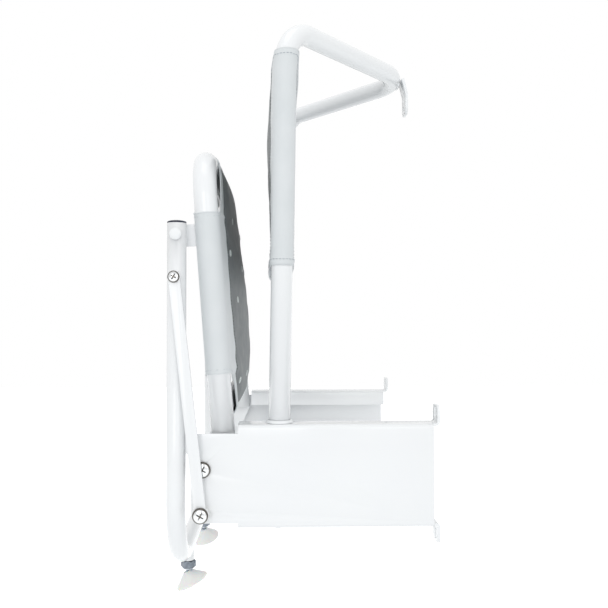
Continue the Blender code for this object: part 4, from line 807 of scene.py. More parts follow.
# %% The tree of the screw threads
thread_tree, given, way_out = new_tree("screw_thread", {
    "Radius": ("Float", 5 * MM), "Pitch": ("Float", 1.5 * MM), "Height": ("Float", 30 * MM),
    "Depth": ("Float", 0.8 * MM), "Material": ("Material", None)})
turns = add_node(thread_tree, "ShaderNodeMath", {0: given["Height"], 1: given["Pitch"]}, operation="DIVIDE")
reach = add_node(thread_tree, "ShaderNodeMath", {0: given["Radius"], 1: given["Depth"]}, operation="SUBTRACT")
coil = add_node(thread_tree, "GeometryNodeCurveSpiral",
                {"Resolution": 24, "Rotations": turns.outputs[0], "Start Radius": reach.outputs[0],
                 "End Radius": reach.outputs[0], "Height": given["Height"]})
ridge = add_node(thread_tree, "GeometryNodeCurvePrimitiveCircle",
                 {"Resolution": 4, "Radius": given["Depth"]}, mode="RADIUS")
swept = add_node(thread_tree, "GeometryNodeCurveToMesh",
                 {"Curve": coil.outputs[0], "Profile Curve": ridge.outputs[0], "Fill Caps": True})
finish_tree(thread_tree, swept.outputs[0], given["Material"], way_out)

# %% Foot stems
BALL_Z = -655.6 * MM
THREAD_RADIUS = 4.95 * MM
THREAD_START = 8.4 * MM    # above the ball's middle, on top of the flange
THREAD_LENGTH = 39.2 * MM
THREAD_ANGLE = math.radians(35)
BALL_RADIUS = 5  # in mm, as are the radii and the heights above the ball's middle in the profile
NECK_RADIUS = 2
neck_turn = math.asin(NECK_RADIUS / BALL_RADIUS)
ball = [(BALL_RADIUS * math.sin(t), BALL_RADIUS * math.cos(t)) for t in np.linspace(neck_turn, math.pi, 16)]
stem_profile = in_mm([(0, 49.6), (3.6, 49.6), (4.2, 48.8), (4.2, 8.4), (6.6, 8.4), (7.0, 8.0), (7.0, 7.2),
                      (6.6, 6.8), (2.6, 6.8), (2.0, 6.2), *ball[:-1], (0, -BALL_RADIUS)])


def foot_stem(side_name, side):
    """A stem with its thread, flange, neck and ball."""
    centre = Vector((side * FOOT_X, LEG_PIVOT.y, BALL_Z))
    core = mesh_of(spun(stem_profile, centre, UP, 40), "core")
    values = {"Radius": THREAD_RADIUS, "Height": THREAD_LENGTH, "Material": blue_zinc}
    thread = grown("thread", path_mesh("thread", [([(0, 0, 0), (0, 0, MM)], False)]), thread_tree, values)
    thread.transform(Matrix.Translation(centre + Vector((0, 0, THREAD_START))))
    bm = bmesh.new()
    for mesh in (core, tidy_mesh(thread)):
        bm.from_mesh(mesh)
    name = f"{side_name}_foot_stem_dressed"
    return put(name, mesh_of(bm, name, THREAD_ANGLE), f"{side_name}_foot", "zinc_steel",
               f"{side_name}_foot_stem", material=blue_zinc)


for side_name, side in SIDES.items():
    stem = foot_stem(side_name, side)
print("stem", len(stem.data.polygons), "faces")

# %% Foot nuts and bosses
NUT_TOP_Z = -637.9 * MM
BOSS_TOP_Z = LEG_BAR_Z - 8 * MM
foot_nut = in_mm([(5.3, 0), (8.2, 0), (8.5, 0.9, "hex"), (8.5, 8.1, "hex"), (8.2, 9), (5.3, 9)])
foot_boss = in_mm([(5.3, 0), (7.5, 0), (7.5, 18.2), (7.1, 18.6), (5.3, 18.6)])
for side_name, side in SIDES.items():
    turned_piece(f"{side_name}_foot_nut_dressed", f"{side_name}_foot_lock_nut", foot_nut,
                 (side * FOOT_X, LEG_PIVOT.y, NUT_TOP_Z), DOWN, "leg", "chrome", dark_painted_zinc, 72)
    turned_piece(f"{side_name}_foot_boss_dressed", f"{side_name}_foot_boss", foot_boss,
                 (side * FOOT_X, LEG_PIVOT.y, BOSS_TOP_Z), DOWN, "leg", "powder_coated_steel",
                 white_powder_coat)
print("nuts and bosses", 2 * len(SIDES))

# %% The suction cups
CUP_LEAN = {"left": (math.radians(26), 0.0), "right": (math.radians(12), math.radians(16))}
CUP_SLOPE = math.radians(49)
RIM_Z = 3.7 - (21.5 - 5.6) / math.tan(CUP_SLOPE)  # in mm, where the skirt's slope reaches the rim
# radius and height above the ball's middle, from the socket's mouth down to the lip and back inside
outside = [(4.4, 3.7), (5.2, 3.7), (5.8, 3.3), (6.4, 2.6), (9.2, 0.4), (13.2, -3.0), (17.0, -6.3),
           (19.8, -8.7), (21.1, -9.9), (21.5, -10.6), (21.5, RIM_Z - 1.2), (21.2, RIM_Z - 1.9),
           (20.6, RIM_Z - 2.3), (19.8, RIM_Z - 2.2), (18.6, RIM_Z - 1.2)]
inside = [(14.5, -9.6), (10.0, -8.6), (5.0, -7.9), (0, -7.6)]
socket = [(5.3 * math.sin(t), 5.3 * math.cos(t)) for t in np.linspace(math.pi, 1.18, 12)]
cup_profile = in_mm([*outside, *inside, (0, -5.3), *socket[1:]])


def suction_cup(side_name, side):
    """A soft cup with a thick socket for the ball, a thin skirt and a rounded lip."""
    tilt, roll = CUP_LEAN[side_name]
    axis = (math.sin(roll), -math.sin(tilt) * math.cos(roll), math.cos(tilt) * math.cos(roll))
    return turned_piece(f"{side_name}_cup_dressed", f"{side_name}_suction_cup", cup_profile,
                        (side * FOOT_X, LEG_PIVOT.y, BALL_Z), axis, f"{side_name}_cup", "white_rubber",
                        soft_white_pvc, 72)


for side_name, side in SIDES.items():
    cup = suction_cup(side_name, side)
print("cup", len(cup.data.polygons), "faces")

# %% [markdown]
# ## Coated fabric in two greys
# Both covers are polyester cloth coated with soft PVC, which sheds water. The side strips that wrap
# the tubes are pale grey, and the panel that carries the sitter is dark grey. The coat is smooth, so
# the weave only shows as a faint grid of threads under a low sheen. The covers carry two UV maps:
# "cloth" measures the cut cloth in metres, and "seam" holds each point's distance from the seam, so
# that the change of colour stays sharp however coarse the mesh is.

# %% Coated polyester fabric
THREAD_SPACING = 1.5 * MM  # real threads lie 0.5 mm apart, and are drawn coarser so that they show
THREAD_RELIEF = 0.03 * MM
SEAM_BLUR = 0.6 * MM       # the two fabrics change over within about a millimetre
GAP_PAINTED_SHADE = 0.975          # painted shade: how dark the gaps between the threads are
PALE_GREY = ("#DADFE1", "#DFE3E5")
DARK_GREY = ("#646A6C", "#686E70")
two_grey_fabric = surface("pvc_coated_polyester", PALE_GREY, cloud=45, gloss=(0.5, 0.64), patch=14,
                          relief=0.4, grain=12, strength=0.2, Metallic=0.0, IOR=1.5, Sheen_Weight=0.1,
                          Sheen_Roughness=0.45)
tree = two_grey_fabric.node_tree
shader = tree.nodes["Principled BSDF"]
pale_paint = shader.inputs["Base Color"].links[0].from_node
share = pale_paint.inputs[0].links[0].from_socket
seam_map = add_node(tree, "ShaderNodeUVMap", uv_map="seam")
from_seam = add_node(tree, "ShaderNodeSeparateXYZ", {0: seam_map.outputs[0]})
inside = add_node(tree, "ShaderNodeMapRange", {0: from_seam.outputs[0], 1: -SEAM_BLUR, 2: SEAM_BLUR})
first, second = (linear(shade) for shade in DARK_GREY)
dark_paint = add_node(tree, "ShaderNodeMix", {0: share, 6: first, 7: second}, data_type="RGBA")
both = add_node(tree, "ShaderNodeMix",
                {0: inside.outputs[0], 6: pale_paint.outputs[2], 7: dark_paint.outputs[2]}, data_type="RGBA")
# threads: the product of two sines, one along each way of the cloth, which paints a little shade into the
# gaps
cloth_map = add_node(tree, "ShaderNodeUVMap", uv_map="cloth")
turns = add_node(tree, "ShaderNodeVectorMath",
                 {0: cloth_map.outputs[0], "Scale": 2 * math.pi / THREAD_SPACING}, operation="SCALE")
waves = add_node(tree, "ShaderNodeVectorMath", {0: turns.outputs[0]}, operation="SINE")
wave = add_node(tree, "ShaderNodeSeparateXYZ", {0: waves.outputs[0]})
weave = add_node(tree, "ShaderNodeMath", {0: wave.outputs[0], 1: wave.outputs[1]}, operation="MULTIPLY")
gaps = add_node(tree, "ShaderNodeMapRange", {0: weave.outputs[0], 1: -1.0, 2: 1.0, 3: GAP_PAINTED_SHADE, 4: 1.0})
woven = add_node(tree, "ShaderNodeVectorMath", {0: both.outputs[2], "Scale": gaps.outputs[0]},
                 operation="SCALE")
tree.links.new(woven.outputs[0], shader.inputs["Base Color"])
creases = shader.inputs["Normal"].links[0].from_socket
threads = add_node(tree, "ShaderNodeBump", {"Height": weave.outputs[0], "Distance": THREAD_RELIEF,
                                            "Strength": 0.3, "Normal": creases})
tree.links.new(threads.outputs[0], shader.inputs["Normal"])
print(two_grey_fabric.name, "with", len(tree.nodes), "nodes")

# %% The fabric's backing and the sewing threads
# the uncoated back of the cloth shows its pale knit, which brightens the inside of a cover
fabric_backing = surface("polyester_knit_backing", ("#E2E7EA", "#E9EDEF"), cloud=12, gloss=(0.75, 0.85),
                         patch=4, relief=0.1, grain=1.2, strength=0.4, Metallic=0.0, IOR=1.5,
                         Sheen_Weight=0.2)


def sewing_thread(name, shades):
    """Bonded thread. It has two plies, and its grain stands for their twist."""
    return surface(name, shades, cloud=4, gloss=(0.45, 0.6), patch=3, relief=0.06, grain=0.8, strength=0.5,
                   Metallic=0.0, IOR=1.55, Sheen_Weight=0.2)


pale_thread = sewing_thread("pale_polyester_thread", ("#C4CBCF", "#D3D9DC"))
grey_thread = sewing_thread("grey_polyester_thread", ("#8E979F", "#A7AFB5"))
dark_thread = sewing_thread("dark_polyester_thread", ("#4A5053", "#5E6568"))
print(fabric_backing.name, pale_thread.name, grey_thread.name, dark_thread.name)

# %% [markdown]
# ## Building a cover
# A cover is an envelope drawn over two tubes. Cloth simulation could make its creases, but a sleeve
# that is stretched between two tubes has few, and they all run the way it is pulled. So its rings are
# worked out from the tubes' places, the panel's bulge and a small wrinkle field, and each ring also
# gives the cloth's own measures for the UV maps.

# %% Rings of an envelope
COVER_SIDES = 84          # steps along a face
COVER_ENDS = 14           # steps round a tube
CLOTH_THICKNESS = 0.9 * MM
GRIP = 45 * MM            # the folds fade out this near to a tube, which grips the cloth
IN_SLEEVE = -20 * MM      # what stands for the distance into the panel on a tube


def smooth_profile(stations, values, soften=9):
    """A soft curve through a few measures, as a function."""
    fine = np.linspace(stations[0], stations[-1], 400)
    raw = np.interp(fine, stations, values)
    window = np.hanning(soften * 4)
    padded = np.pad(raw, len(window) // 2, mode="edge")
    soft = np.convolve(padded, window / window.sum(), mode="valid")[:len(fine)]
    return lambda at: float(np.interp(at, fine, soft))


def step(value, low, high):
    """0 below low, 1 above high, and a soft rise between."""
    share = min(max((value - low) / (high - low), 0.0), 1.0)
    return share * share * (3 - 2 * share)


def softer_of(first, second, blend):
    """The smaller of two lengths, with a round corner where they change places."""
    return -blend * math.log(math.exp(-first / blend) + math.exp(-second / blend))


def wrinkle(x, along, seed, amount):
    """Soft folds that run across the panel, the way that the cloth is pulled."""
    across = noise.noise(Vector((x * 5, along * 34, seed)))
    fine = noise.noise(Vector((x * 11, along * 75, seed + 7)))
    broad = noise.noise(Vector((x * 9, along * 11, seed + 3)))
    return amount * (0.8 * across + 0.25 * fine + 0.9 * broad)


def envelope_ring(half_span, radius, lift):
    """A closed ring as (x, behind, face), where lift(x, face) is how far a face bulges at x."""
    ring = []
    for face in (1, -1):
        for i in range(COVER_SIDES + 1):
            x = face * half_span * (1 - 2 * i / COVER_SIDES)
            ring.append((x, face * (radius + lift(x, face)), face))
        for i in range(1, COVER_ENDS):
            turn = face * math.pi / 2 + math.pi * i / COVER_ENDS
            ring.append((-face * half_span + radius * math.cos(turn), radius * math.sin(turn), 0))
    return ring


def cover_mesh(name, rings, lengths, closed_ends=False):
    """Quads through rings, each its points and their distances to the seam. Also gives the girth."""
    rows = [points for points, _ in rings]
    seams = [into_panel for _, into_panel in rings]
    count = len(rows[0])
    around = [0.0]
    middle = rows[len(rows) // 2]
    for i in range(count):
        around.append(around[-1] + (middle[(i + 1) % count] - middle[i]).length)
    faces, cloth, seam = [], [], []
    for i in range(len(rows) - 1):
        for j in range(count):
            k = (j + 1) % count
            faces.append((i * count + j, i * count + k, (i + 1) * count + k, (i + 1) * count + j))
            for row, column, turn in ((i, j, j), (i, k, j + 1), (i + 1, k, j + 1), (i + 1, j, j)):
                cloth += [around[turn], lengths[row]]
                seam += [seams[row][column], 0.0]
    if closed_ends:
        for i in (0, len(rows) - 1):
            faces.append(tuple(i * count + j for j in range(count)))
            for j in range(count):
                cloth += [around[j], lengths[i]]
                seam += [seams[i][j], 0.0]
    mesh = bpy.data.meshes.new(name)
    mesh.from_pydata([tuple(point) for row in rows for point in row], [], faces)
    mesh.uv_layers.new(name="cloth").data.foreach_set("uv", cloth)
    mesh.uv_layers.new(name="seam").data.foreach_set("uv", seam)
    bm = bmesh.new()
    bm.from_mesh(mesh)
    bmesh.ops.recalc_face_normals(bm, faces=bm.faces)
    bm.to_mesh(mesh)
    bm.free()
    mesh.shade_smooth()
    mesh.materials.append(two_grey_fabric)
    return mesh, around[-1]


def with_thickness(name, mesh):
    """The mesh with its wall, grown inwards and lined with the backing."""
    mesh.materials.append(fabric_backing)
    made = add_object(name, mesh)
    wall = made.modifiers.new("wall", "SOLIDIFY")
    wall.thickness = CLOTH_THICKNESS
    wall.offset = -1
    wall.material_offset = 1
    return plain_mesh(made)


# %% [markdown]
# ## Back cover
# A sleeve over both uprights, open at its upper and lower ends, each with a folded and stitched hem.
# Its front layer is slack and stands out most about a quarter of the way down, while its rear layer
# lies nearly flat, as the photograph's outline shows.

# %% The back cover's surface
BACK_TOP_Z = -4.0 * MM
BACK_BOTTOM_Z = -260.0 * MM
BACK_RADIUS = 13.9 * MM
UPPER_HEM = 8.2 * MM
LOWER_HEM = 9 * MM
HEM_LIFT = 0.45 * MM  # a hem's second layer
UPPER_SEAM_Z = BACK_TOP_Z - UPPER_HEM
LOWER_SEAM_Z = BACK_BOTTOM_Z + LOWER_HEM
UPPER_FOLD = (UPPER_SEAM_Z - 1 * MM, UPPER_SEAM_Z + 0.3 * MM)
LOWER_FOLD = (LOWER_SEAM_Z - 0.3 * MM, LOWER_SEAM_Z + 1 * MM)
BEND_COVERED = 40 * MM                    # the most of the V corner's bend that the sleeve reaches
BACK_STRIP = {-1: 30 * MM, 1: 38 * MM}    # the pale strips' reach on the front and the rear
BACK_FOLDS = {-1: 1.2 * MM, 1: 0.8 * MM}  # the height of the folds there
back_bulge = {  # in mm, at heights in m
    -1: smooth_profile([-0.26, -0.25, -0.235, -0.2, -0.157, -0.119, -0.073, -0.028, 0],
                       [4.0, 3.0, 1.4, 2.8, 5.8, 8.2, 10.0, 7.0, 4.0], 4),
    1: smooth_profile([-0.26, -0.235, -0.17, -0.1, -0.053, -0.015, 0],
                      [1.0, 1.8, 1.8, 1.2, 0.8, 1.6, 1.6]),
}


def back_ring(z, grow=0.0):
    """The sleeve's ring at a height, in world places, with each point's distance into the dark panel."""
    # near the top the uprights bend inwards, so the sleeve narrows and its section widens
    above = min(max(z - (V_Z - V_CORNER_BEND), 0), BEND_COVERED)
    reach = math.sqrt(V_CORNER_BEND ** 2 - above ** 2)
    moved, widened = V_CORNER_BEND - reach, V_CORNER_BEND / reach
    y = upright_y(z) + moved * math.sin(V_ANGLE)
    half_span = UPRIGHT_X - moved * math.cos(V_ANGLE)
    hem = HEM_LIFT * (step(z, *UPPER_FOLD) + 1 - step(z, *LOWER_FOLD))
    radius = BACK_RADIUS * widened + hem + grow

    def lift(x, face):
        share = 1 - (x / half_span) ** 2
        held = step(half_span - abs(x), 0, GRIP)
        return share * back_bulge[face](z) * MM + held * wrinkle(x, z, 2.0 + face, BACK_FOLDS[face])

    points, into_panel = [], []
    for x, behind, face in envelope_ring(half_span, radius, lift):
        points.append(Vector((x, y + behind, z)))
        side = half_span - BACK_STRIP[face] - abs(x) if face else IN_SLEEVE
        into_panel.append(min(side, UPPER_SEAM_Z - z, z - LOWER_SEAM_Z))
    return points, into_panel


heights = sorted({*np.linspace(BACK_BOTTOM_Z, BACK_TOP_Z, 74), *UPPER_FOLD, *LOWER_FOLD})
sleeve, back_girth = cover_mesh("back_cover_fabric", [back_ring(z) for z in heights],
                                [z - BACK_BOTTOM_Z for z in heights])
back_mesh = with_thickness("back_cover_fabric", sleeve)
print("back cover: girth", round(back_girth, 3), "m, faces", len(back_mesh.polygons))

# %% [markdown]
# ## Seat cover
# The seat's cover is sewn shut round the front bar and the rear bar, and its four corners are cut
# away along a hollow curve, which leaves the tube's bends bare and lets water out. Rings run from the
# rear bar's far side to the front bar's far side, and an exact Boolean takes out the corners and the
# slots for the leg's tabs.

# %% The seat cover's measures
SEAT_RADIUS = 15.0 * MM
REAR_BAR = 63.8 * MM
SEAT_FRONT_BULGE = 4 * MM
HALF_WIDTH = SEAT_X + SEAT_RADIUS
CORNERS = {
    # half width of the straight edge, the edge's place along the seat, where the side sleeve ends
    "front": (137 * MM, SEAT_REACH + SEAT_RADIUS, 295.5 * MM),
    "rear": (150 * MM, REAR_BAR - SEAT_RADIUS, 107.9 * MM),
}
PANEL_SIDE = 33 * MM    # pale strip between the tube's axis and the dark panel
PALE_RIM = 20 * MM      # pale strip along the cut corners
PANEL_CORNER = 7 * MM   # how softly the one turns into the other
TAUT_RIM = 55 * MM      # the cut edge is pulled straight, so the bulge starts this far inside it
BAR_GRIP = 25 * MM      # the folds fade out this near to a bar
RIM_FOLDS = 0.3         # the share of the folds that is left at a cut edge
SEAT_FOLDS = 1.5 * MM   # the height of the folds
FAN_FOLDS = 1.3 * MM    # and of those that fan out from a side sleeve's end
FAN_RAYS = 8
FAN_FADE = 45 * MM
FAN_RISE = (6 * MM, 30 * MM)
FAN_INSET = 8 * MM      # from the tube's axis to the middle of a fan
seat_rear_bulge = smooth_profile(  # in mm, at places along the seat in m
    [0.055, 0.07, 0.085, 0.1, 0.122, 0.17, 0.215, 0.255, 0.297, 0.338, 0.358, 0.368],
    [0.0, 3.5, 8.0, 11.5, 13.4, 15.0, 15.2, 12.8, 10.4, 9.0, 6.0, 0.5], 5)
print("seat cover from", round(CORNERS["rear"][1], 4), "to", round(CORNERS["front"][1], 4), "m")

# %% The seat cover's surface
def rim_x(along):
    """Half width of the cover at a place along the seat, where its corners are cut."""
    width = HALF_WIDTH
    for half, edge, sleeve in CORNERS.values():
        share = (edge - along) / (edge - sleeve)
        if 0 <= share <= 1:
            width = HALF_WIDTH - (HALF_WIDTH - half) * math.sqrt(1 - share ** 2)
    return width


def corner_folds(x, along):
    """Small pull folds that fan out from the ends of the side sleeves."""
    total = 0.0
    for _, _, sleeve in CORNERS.values():
        to_x, to_along = abs(x) - (SEAT_X - FAN_INSET), along - sleeve
        far = math.hypot(to_x, to_along)
        turn = math.atan2(to_along, to_x)
        total += math.cos(turn * FAN_RAYS + 1) * math.exp(-far / FAN_FADE) * step(far, *FAN_RISE)
    return FAN_FOLDS * total


def seat_lift(x, along, face):
    """How far a face of the seat's cover stands off the plane of its sleeves."""
    share = max(1 - (x / SEAT_X) ** 2, 0)
    swell = math.sin(math.pi * min(max((along - REAR_BAR) / (SEAT_REACH - REAR_BAR), 0), 1))
    bulge = seat_rear_bulge(along) * MM if face > 0 else SEAT_FRONT_BULGE * swell
    taut = step(rim_x(along) - abs(x), 0, TAUT_RIM)
    held = step(SEAT_X - abs(x), 0, GRIP) * step(along, REAR_BAR, REAR_BAR + BAR_GRIP)
    held *= 1 - step(along, SEAT_REACH - BAR_GRIP, SEAT_REACH)
    folds = wrinkle(x, along, 11.0 + face, SEAT_FOLDS) + corner_folds(x, along)
    return taut * share * bulge + (RIM_FOLDS + (1 - RIM_FOLDS) * taut) * held * folds


def seat_ring(along, tuck=0.0):
    """The envelope's ring at a place along the seat. tuck is the turn round the front or rear bar."""
    radius = SEAT_RADIUS * math.cos(tuck)
    points, into_panel = [], []
    for x, behind, face in envelope_ring(SEAT_X, radius, lambda x, face: seat_lift(x, along, face)):
        points.append(seat_point(x, along, SEAT_OFFSET + behind))
        panel = softer_of(SEAT_X - PANEL_SIDE, rim_x(along) - PALE_RIM, PANEL_CORNER)
        side = panel - abs(x) if face else IN_SLEEVE
        into_panel.append(min(side, SEAT_REACH - along, along - REAR_BAR))
    return points, into_panel


tucks = np.radians(np.linspace(0, 88, 9))
places = [(REAR_BAR - SEAT_RADIUS * math.sin(t), t) for t in reversed(tucks)]
places += [(along, 0.0) for along in np.linspace(REAR_BAR, SEAT_REACH, 78)[1:-1]]
places += [(SEAT_REACH + SEAT_RADIUS * math.sin(t), t) for t in tucks]
envelope, seat_girth = cover_mesh("seat_cover_fabric", [seat_ring(along, tuck) for along, tuck in places],
                                  [along for along, _ in places], closed_ends=True)
uncut = with_thickness("seat_cover_fabric", envelope)
print("seat cover: girth", round(seat_girth, 3), "m, faces", len(uncut.polygons))

# %% Cutting the corners and the tabs' slots
CUT_REACH = 60 * MM      # how far the cutters stand out before and behind the sleeves
CUT_MARGIN = 20 * MM     # and beyond the cover's edges
SLOT_HALF = 4.2 * MM     # half the width of a slot for a leg tab
SLOT_PLAY = 0.8 * MM     # and what it is longer than the tab at each end


def prism(bm, outline, low, high):
    """A block with an outline of (x, along), from low to high behind the hinge."""
    loft(bm, [[seat_point(x, along, behind) for x, along in outline] for behind in (low, high)])


def corner_curve(side, half, edge, sleeve, steps=28):
    """The cut corner's curve, from the straight edge to the side sleeve's end."""
    return [(side * (HALF_WIDTH - (HALF_WIDTH - half) * math.cos(t)), edge - (edge - sleeve) * math.sin(t))
            for t in np.linspace(0, math.pi / 2, steps)]


cutter = bmesh.new()
for side in SIDES.values():
    for half, edge, sleeve in CORNERS.values():
        beyond = edge + math.copysign(CUT_MARGIN, edge - sleeve)
        far_x = side * (HALF_WIDTH + CUT_MARGIN)
        outline = corner_curve(side, half, edge, sleeve)
        outline += [(far_x, sleeve), (far_x, beyond), (side * half, beyond)]
        prism(cutter, outline, SEAT_OFFSET - CUT_REACH, SEAT_OFFSET + CUT_REACH)
    low, high = TAB_ALONG - TAB_ROOT / 2 - SLOT_PLAY, TAB_ALONG + TAB_ROOT / 2 + SLOT_PLAY
    near_x, far_x = side * SEAT_X - SLOT_HALF, side * SEAT_X + SLOT_HALF
    slot = [(near_x, low), (far_x, low), (far_x, high), (near_x, high)]
    prism(cutter, slot, SEAT_OFFSET - CUT_REACH, SEAT_OFFSET)
seat_mesh = cut_out(uncut, cutter, "seat_cover_fabric")
print("after the cuts", len(seat_mesh.polygons), "faces")

# %% [markdown]
# ## Bindings, stitches and drain eyelets
# A bias binding closes each cut edge. Lock stitches run along the hems and beside the seams, and
# pale eyelets in the seat's panel let the water through. Geometry Nodes place one small shape per
# stitch or eyelet, turned along the path or with the cloth.

# %% The trees of the stitches and the eyelets
def placing_tree(name, make_instance, follow):
    """A tree that puts a small shape on points. follow picks paths, or points that know their facing."""
    tree, given, way_out = new_tree(name, {
        "Pitch": ("Float", 4 * MM), "Length": ("Float", 2.8 * MM), "Radius": ("Float", 0.4 * MM),
        "Material": ("Material", None)})
    if follow == "path":
        line = add_node(tree, "GeometryNodeMeshToCurve", {0: given["Geometry"]})
        even = add_node(tree, "GeometryNodeResampleCurve",
                        {"Curve": line.outputs[0], "Length": given["Pitch"]}, mode="LENGTH")
        spots, way = even.outputs[0], add_node(tree, "GeometryNodeInputTangent").outputs[0]
    else:
        facing = add_node(tree, "GeometryNodeInputNamedAttribute", {"Name": "facing"},
                          data_type="FLOAT_VECTOR")
        spots, way = given["Geometry"], facing.outputs[0]
    turned = add_node(tree, "FunctionNodeAlignRotationToVector", {"Vector": way}, axis="Z")
    shape = make_instance(tree, given)
    placed = add_node(tree, "GeometryNodeInstanceOnPoints",
                      {"Points": spots, "Instance": shape, "Rotation": turned.outputs[0]})
    finish_tree(tree, placed.outputs[0], given["Material"], way_out)
    return tree


def stitch_shape(tree, given):
    """One stitch: a little sausage of thread along Z."""
    ball = add_node(tree, "GeometryNodeMeshUVSphere", {"Segments": 8, "Rings": 5, "Radius": 1.0})
    half = add_node(tree, "ShaderNodeMath", {0: given["Length"], 1: 0.5}, operation="MULTIPLY")
    size = add_node(tree, "ShaderNodeCombineXYZ",
                    {0: given["Radius"], 1: given["Radius"], 2: half.outputs[0]})
    sized = add_node(tree, "GeometryNodeTransform", {"Geometry": ball.outputs[0], "Scale": size.outputs[0]})
    return add_node(tree, "GeometryNodeSetShadeSmooth", {"Geometry": sized.outputs[0]}).outputs[0]


EYELET_FLATNESS = 0.45


def eyelet_shape(tree, given):
    """One eyelet: a flat rounded ring in its own plane."""
    ring = add_node(tree, "GeometryNodeCurvePrimitiveCircle", {"Resolution": 28, "Radius": given["Length"]},
                    mode="RADIUS")
    bead = add_node(tree, "GeometryNodeCurvePrimitiveCircle", {"Resolution": 10, "Radius": given["Radius"]},
                    mode="RADIUS")
    swept = add_node(tree, "GeometryNodeCurveToMesh",
                     {"Curve": ring.outputs[0], "Profile Curve": bead.outputs[0]})
    flat = add_node(tree, "GeometryNodeTransform",
                    {"Geometry": swept.outputs[0], "Scale": (1, 1, EYELET_FLATNESS)})
    return add_node(tree, "GeometryNodeSetShadeSmooth", {"Geometry": flat.outputs[0]}).outputs[0]


stitch_tree = placing_tree("stitches", stitch_shape, "path")
eyelet_tree = placing_tree("eyelets", eyelet_shape, "facing")
print(stitch_tree.name, eyelet_tree.name)

# %% A row of stitches
STITCH = {"Pitch": 4.2 * MM, "Length": 3.0 * MM, "Radius": 0.42 * MM}


def stitches(name, paths, body, thread):
    """Lock stitches along paths, as one finished piece."""
    mesh = tidy_mesh(grown(name, path_mesh(name, paths), stitch_tree, {**STITCH, "Material": thread}))
    print(name, len(mesh.polygons), "faces")
    return put(name, mesh, body, "grey_fabric")


# %% Stitches of the back cover
HALF_THREAD = 0.15 * MM  # how far a stitch stands out of the cloth
SEAM_INSET = 3 * MM      # from a seam to the stitches beside it
HEM_INSET = 1.5 * MM     # from a hem's seam to its stitches
SEAM_ENDS = 4 * MM       # what the seams' stitches leave free before a hem


def back_line(z, wobble, seed):
    """The ring at a height, lifted off the cloth, with a seamstress's small wobble."""
    ring = []
    for point in back_ring(z, HALF_THREAD)[0]:
        shift = wobble * noise.noise(Vector((point.x * 130, point.y * 130, seed)))
        ring.append(Vector((point.x, point.y, point.z + shift)))
    return ring


def seam_line(ring_at, places, side, face):
    """A line down a cover beside its seam, inside the panel."""
    line = []
    for place in places:
        points, into_panel = ring_at(place)
        past = [distance - SEAM_INSET for distance in into_panel]
        count = len(points)
        start = 0 if face > 0 else count // 2
        here = [i for i in range(start, start + COVER_SIDES + 1) if points[i].x * side > 0]
        i = min(here, key=lambda column: abs(past[column]))
        j = i + 1 if past[i] * past[min(i + 1, count - 1)] < 0 else i - 1
        gap = past[j] - past[i]
        share = -past[i] / gap if abs(gap) > 1e-9 else 0.0
        point = points[i].lerp(points[j], min(max(share, 0), 1))
        line.append(point + Vector((0, face * HALF_THREAD, 0)))
    return line


def seam_lines(ring_at, places):
    """The lines beside the seams of both sides and both faces."""
    return [(seam_line(ring_at, places, side, face), False) for side in SIDES.values() for face in (-1, 1)]


back_hems = [(back_line(UPPER_SEAM_Z + HEM_INSET, 1.3 * MM, 5.0), True),
             (back_line(LOWER_SEAM_Z - HEM_INSET, 0.4 * MM, 9.0), True)]
back_hem_stitches = stitches("back_hem_stitches", back_hems, "wall_frame", grey_thread)
seam_heights = np.linspace(LOWER_SEAM_Z + SEAM_ENDS, UPPER_SEAM_Z - SEAM_ENDS, 60)
back_seam_stitches = stitches("back_seam_stitches", seam_lines(back_ring, seam_heights), "wall_frame",
                              dark_thread)

# %% Stitches and bindings of the seat cover
BINDING_RADIUS = 0.95 * MM
RIM_INSET = 4.5 * MM  # from the cut edge to its row of stitches
RIM_STEPS = 60
seam_places = np.linspace(REAR_BAR + 24 * MM, SEAT_REACH - 18 * MM, 70)
seat_seam_stitches = stitches("seat_seam_stitches", seam_lines(seat_ring, seam_places), "seat", dark_thread)


def on_cover(x, along, face):
    """A place on the seat cover's outer skin."""
    over = max(along - SEAT_REACH, REAR_BAR - along, 0)
    radius = math.sqrt(max(SEAT_RADIUS ** 2 - over ** 2, 0))
    past = max(abs(x) - SEAT_X, 0)
    behind = math.sqrt(max(radius ** 2 - past ** 2, 0)) + (0 if past else seat_lift(x, along, face))
    return seat_point(x, along, SEAT_OFFSET + face * behind)


def rim_loop(side, half, edge, sleeve, inset=0.0):
    """The closed edge of one cut corner: out along the rear face and back along the front face."""
    towards = math.copysign(1, edge - sleeve)
    curve = []
    for i, (x, along) in enumerate(corner_curve(side, half, edge, sleeve, RIM_STEPS)):
        share = i / (RIM_STEPS - 1)
        curve.append((x - side * inset * (1 - share), along - towards * inset * share))
    rear = [on_cover(x, along, 1) for x, along in curve]
    front = [on_cover(x, along, -1) for x, along in reversed(curve)]
    return rear + front[1:-1]


def rim_loops(inset):
    """The edges of all four cut corners."""
    return [(rim_loop(side, *corner, inset), True) for side in SIDES.values() for corner in CORNERS.values()]


values = {"Radius": BINDING_RADIUS, "Ripple": 0.0, "Step": 2 * MM, "Material": two_grey_fabric}
mesh = tidy_mesh(grown("seat_cover_bindings", path_mesh("rims", rim_loops(0.0)), bead_tree, values))
for layer in ("cloth", "seam"):
    mesh.uv_layers.new(name=layer)
corners = [mesh.vertices[loop.vertex_index].co for loop in mesh.loops]
mesh.uv_layers["cloth"].data.foreach_set("uv", [value for point in corners for value in (point.x, point.z)])
mesh.uv_layers["seam"].data.foreach_set("uv", [IN_SLEEVE, 0.0] * len(corners))
seat_bindings = put("seat_cover_bindings", mesh, "seat", "grey_fabric", material=two_grey_fabric)
seat_rim_stitches = stitches("seat_rim_stitches", rim_loops(RIM_INSET), "seat", pale_thread)

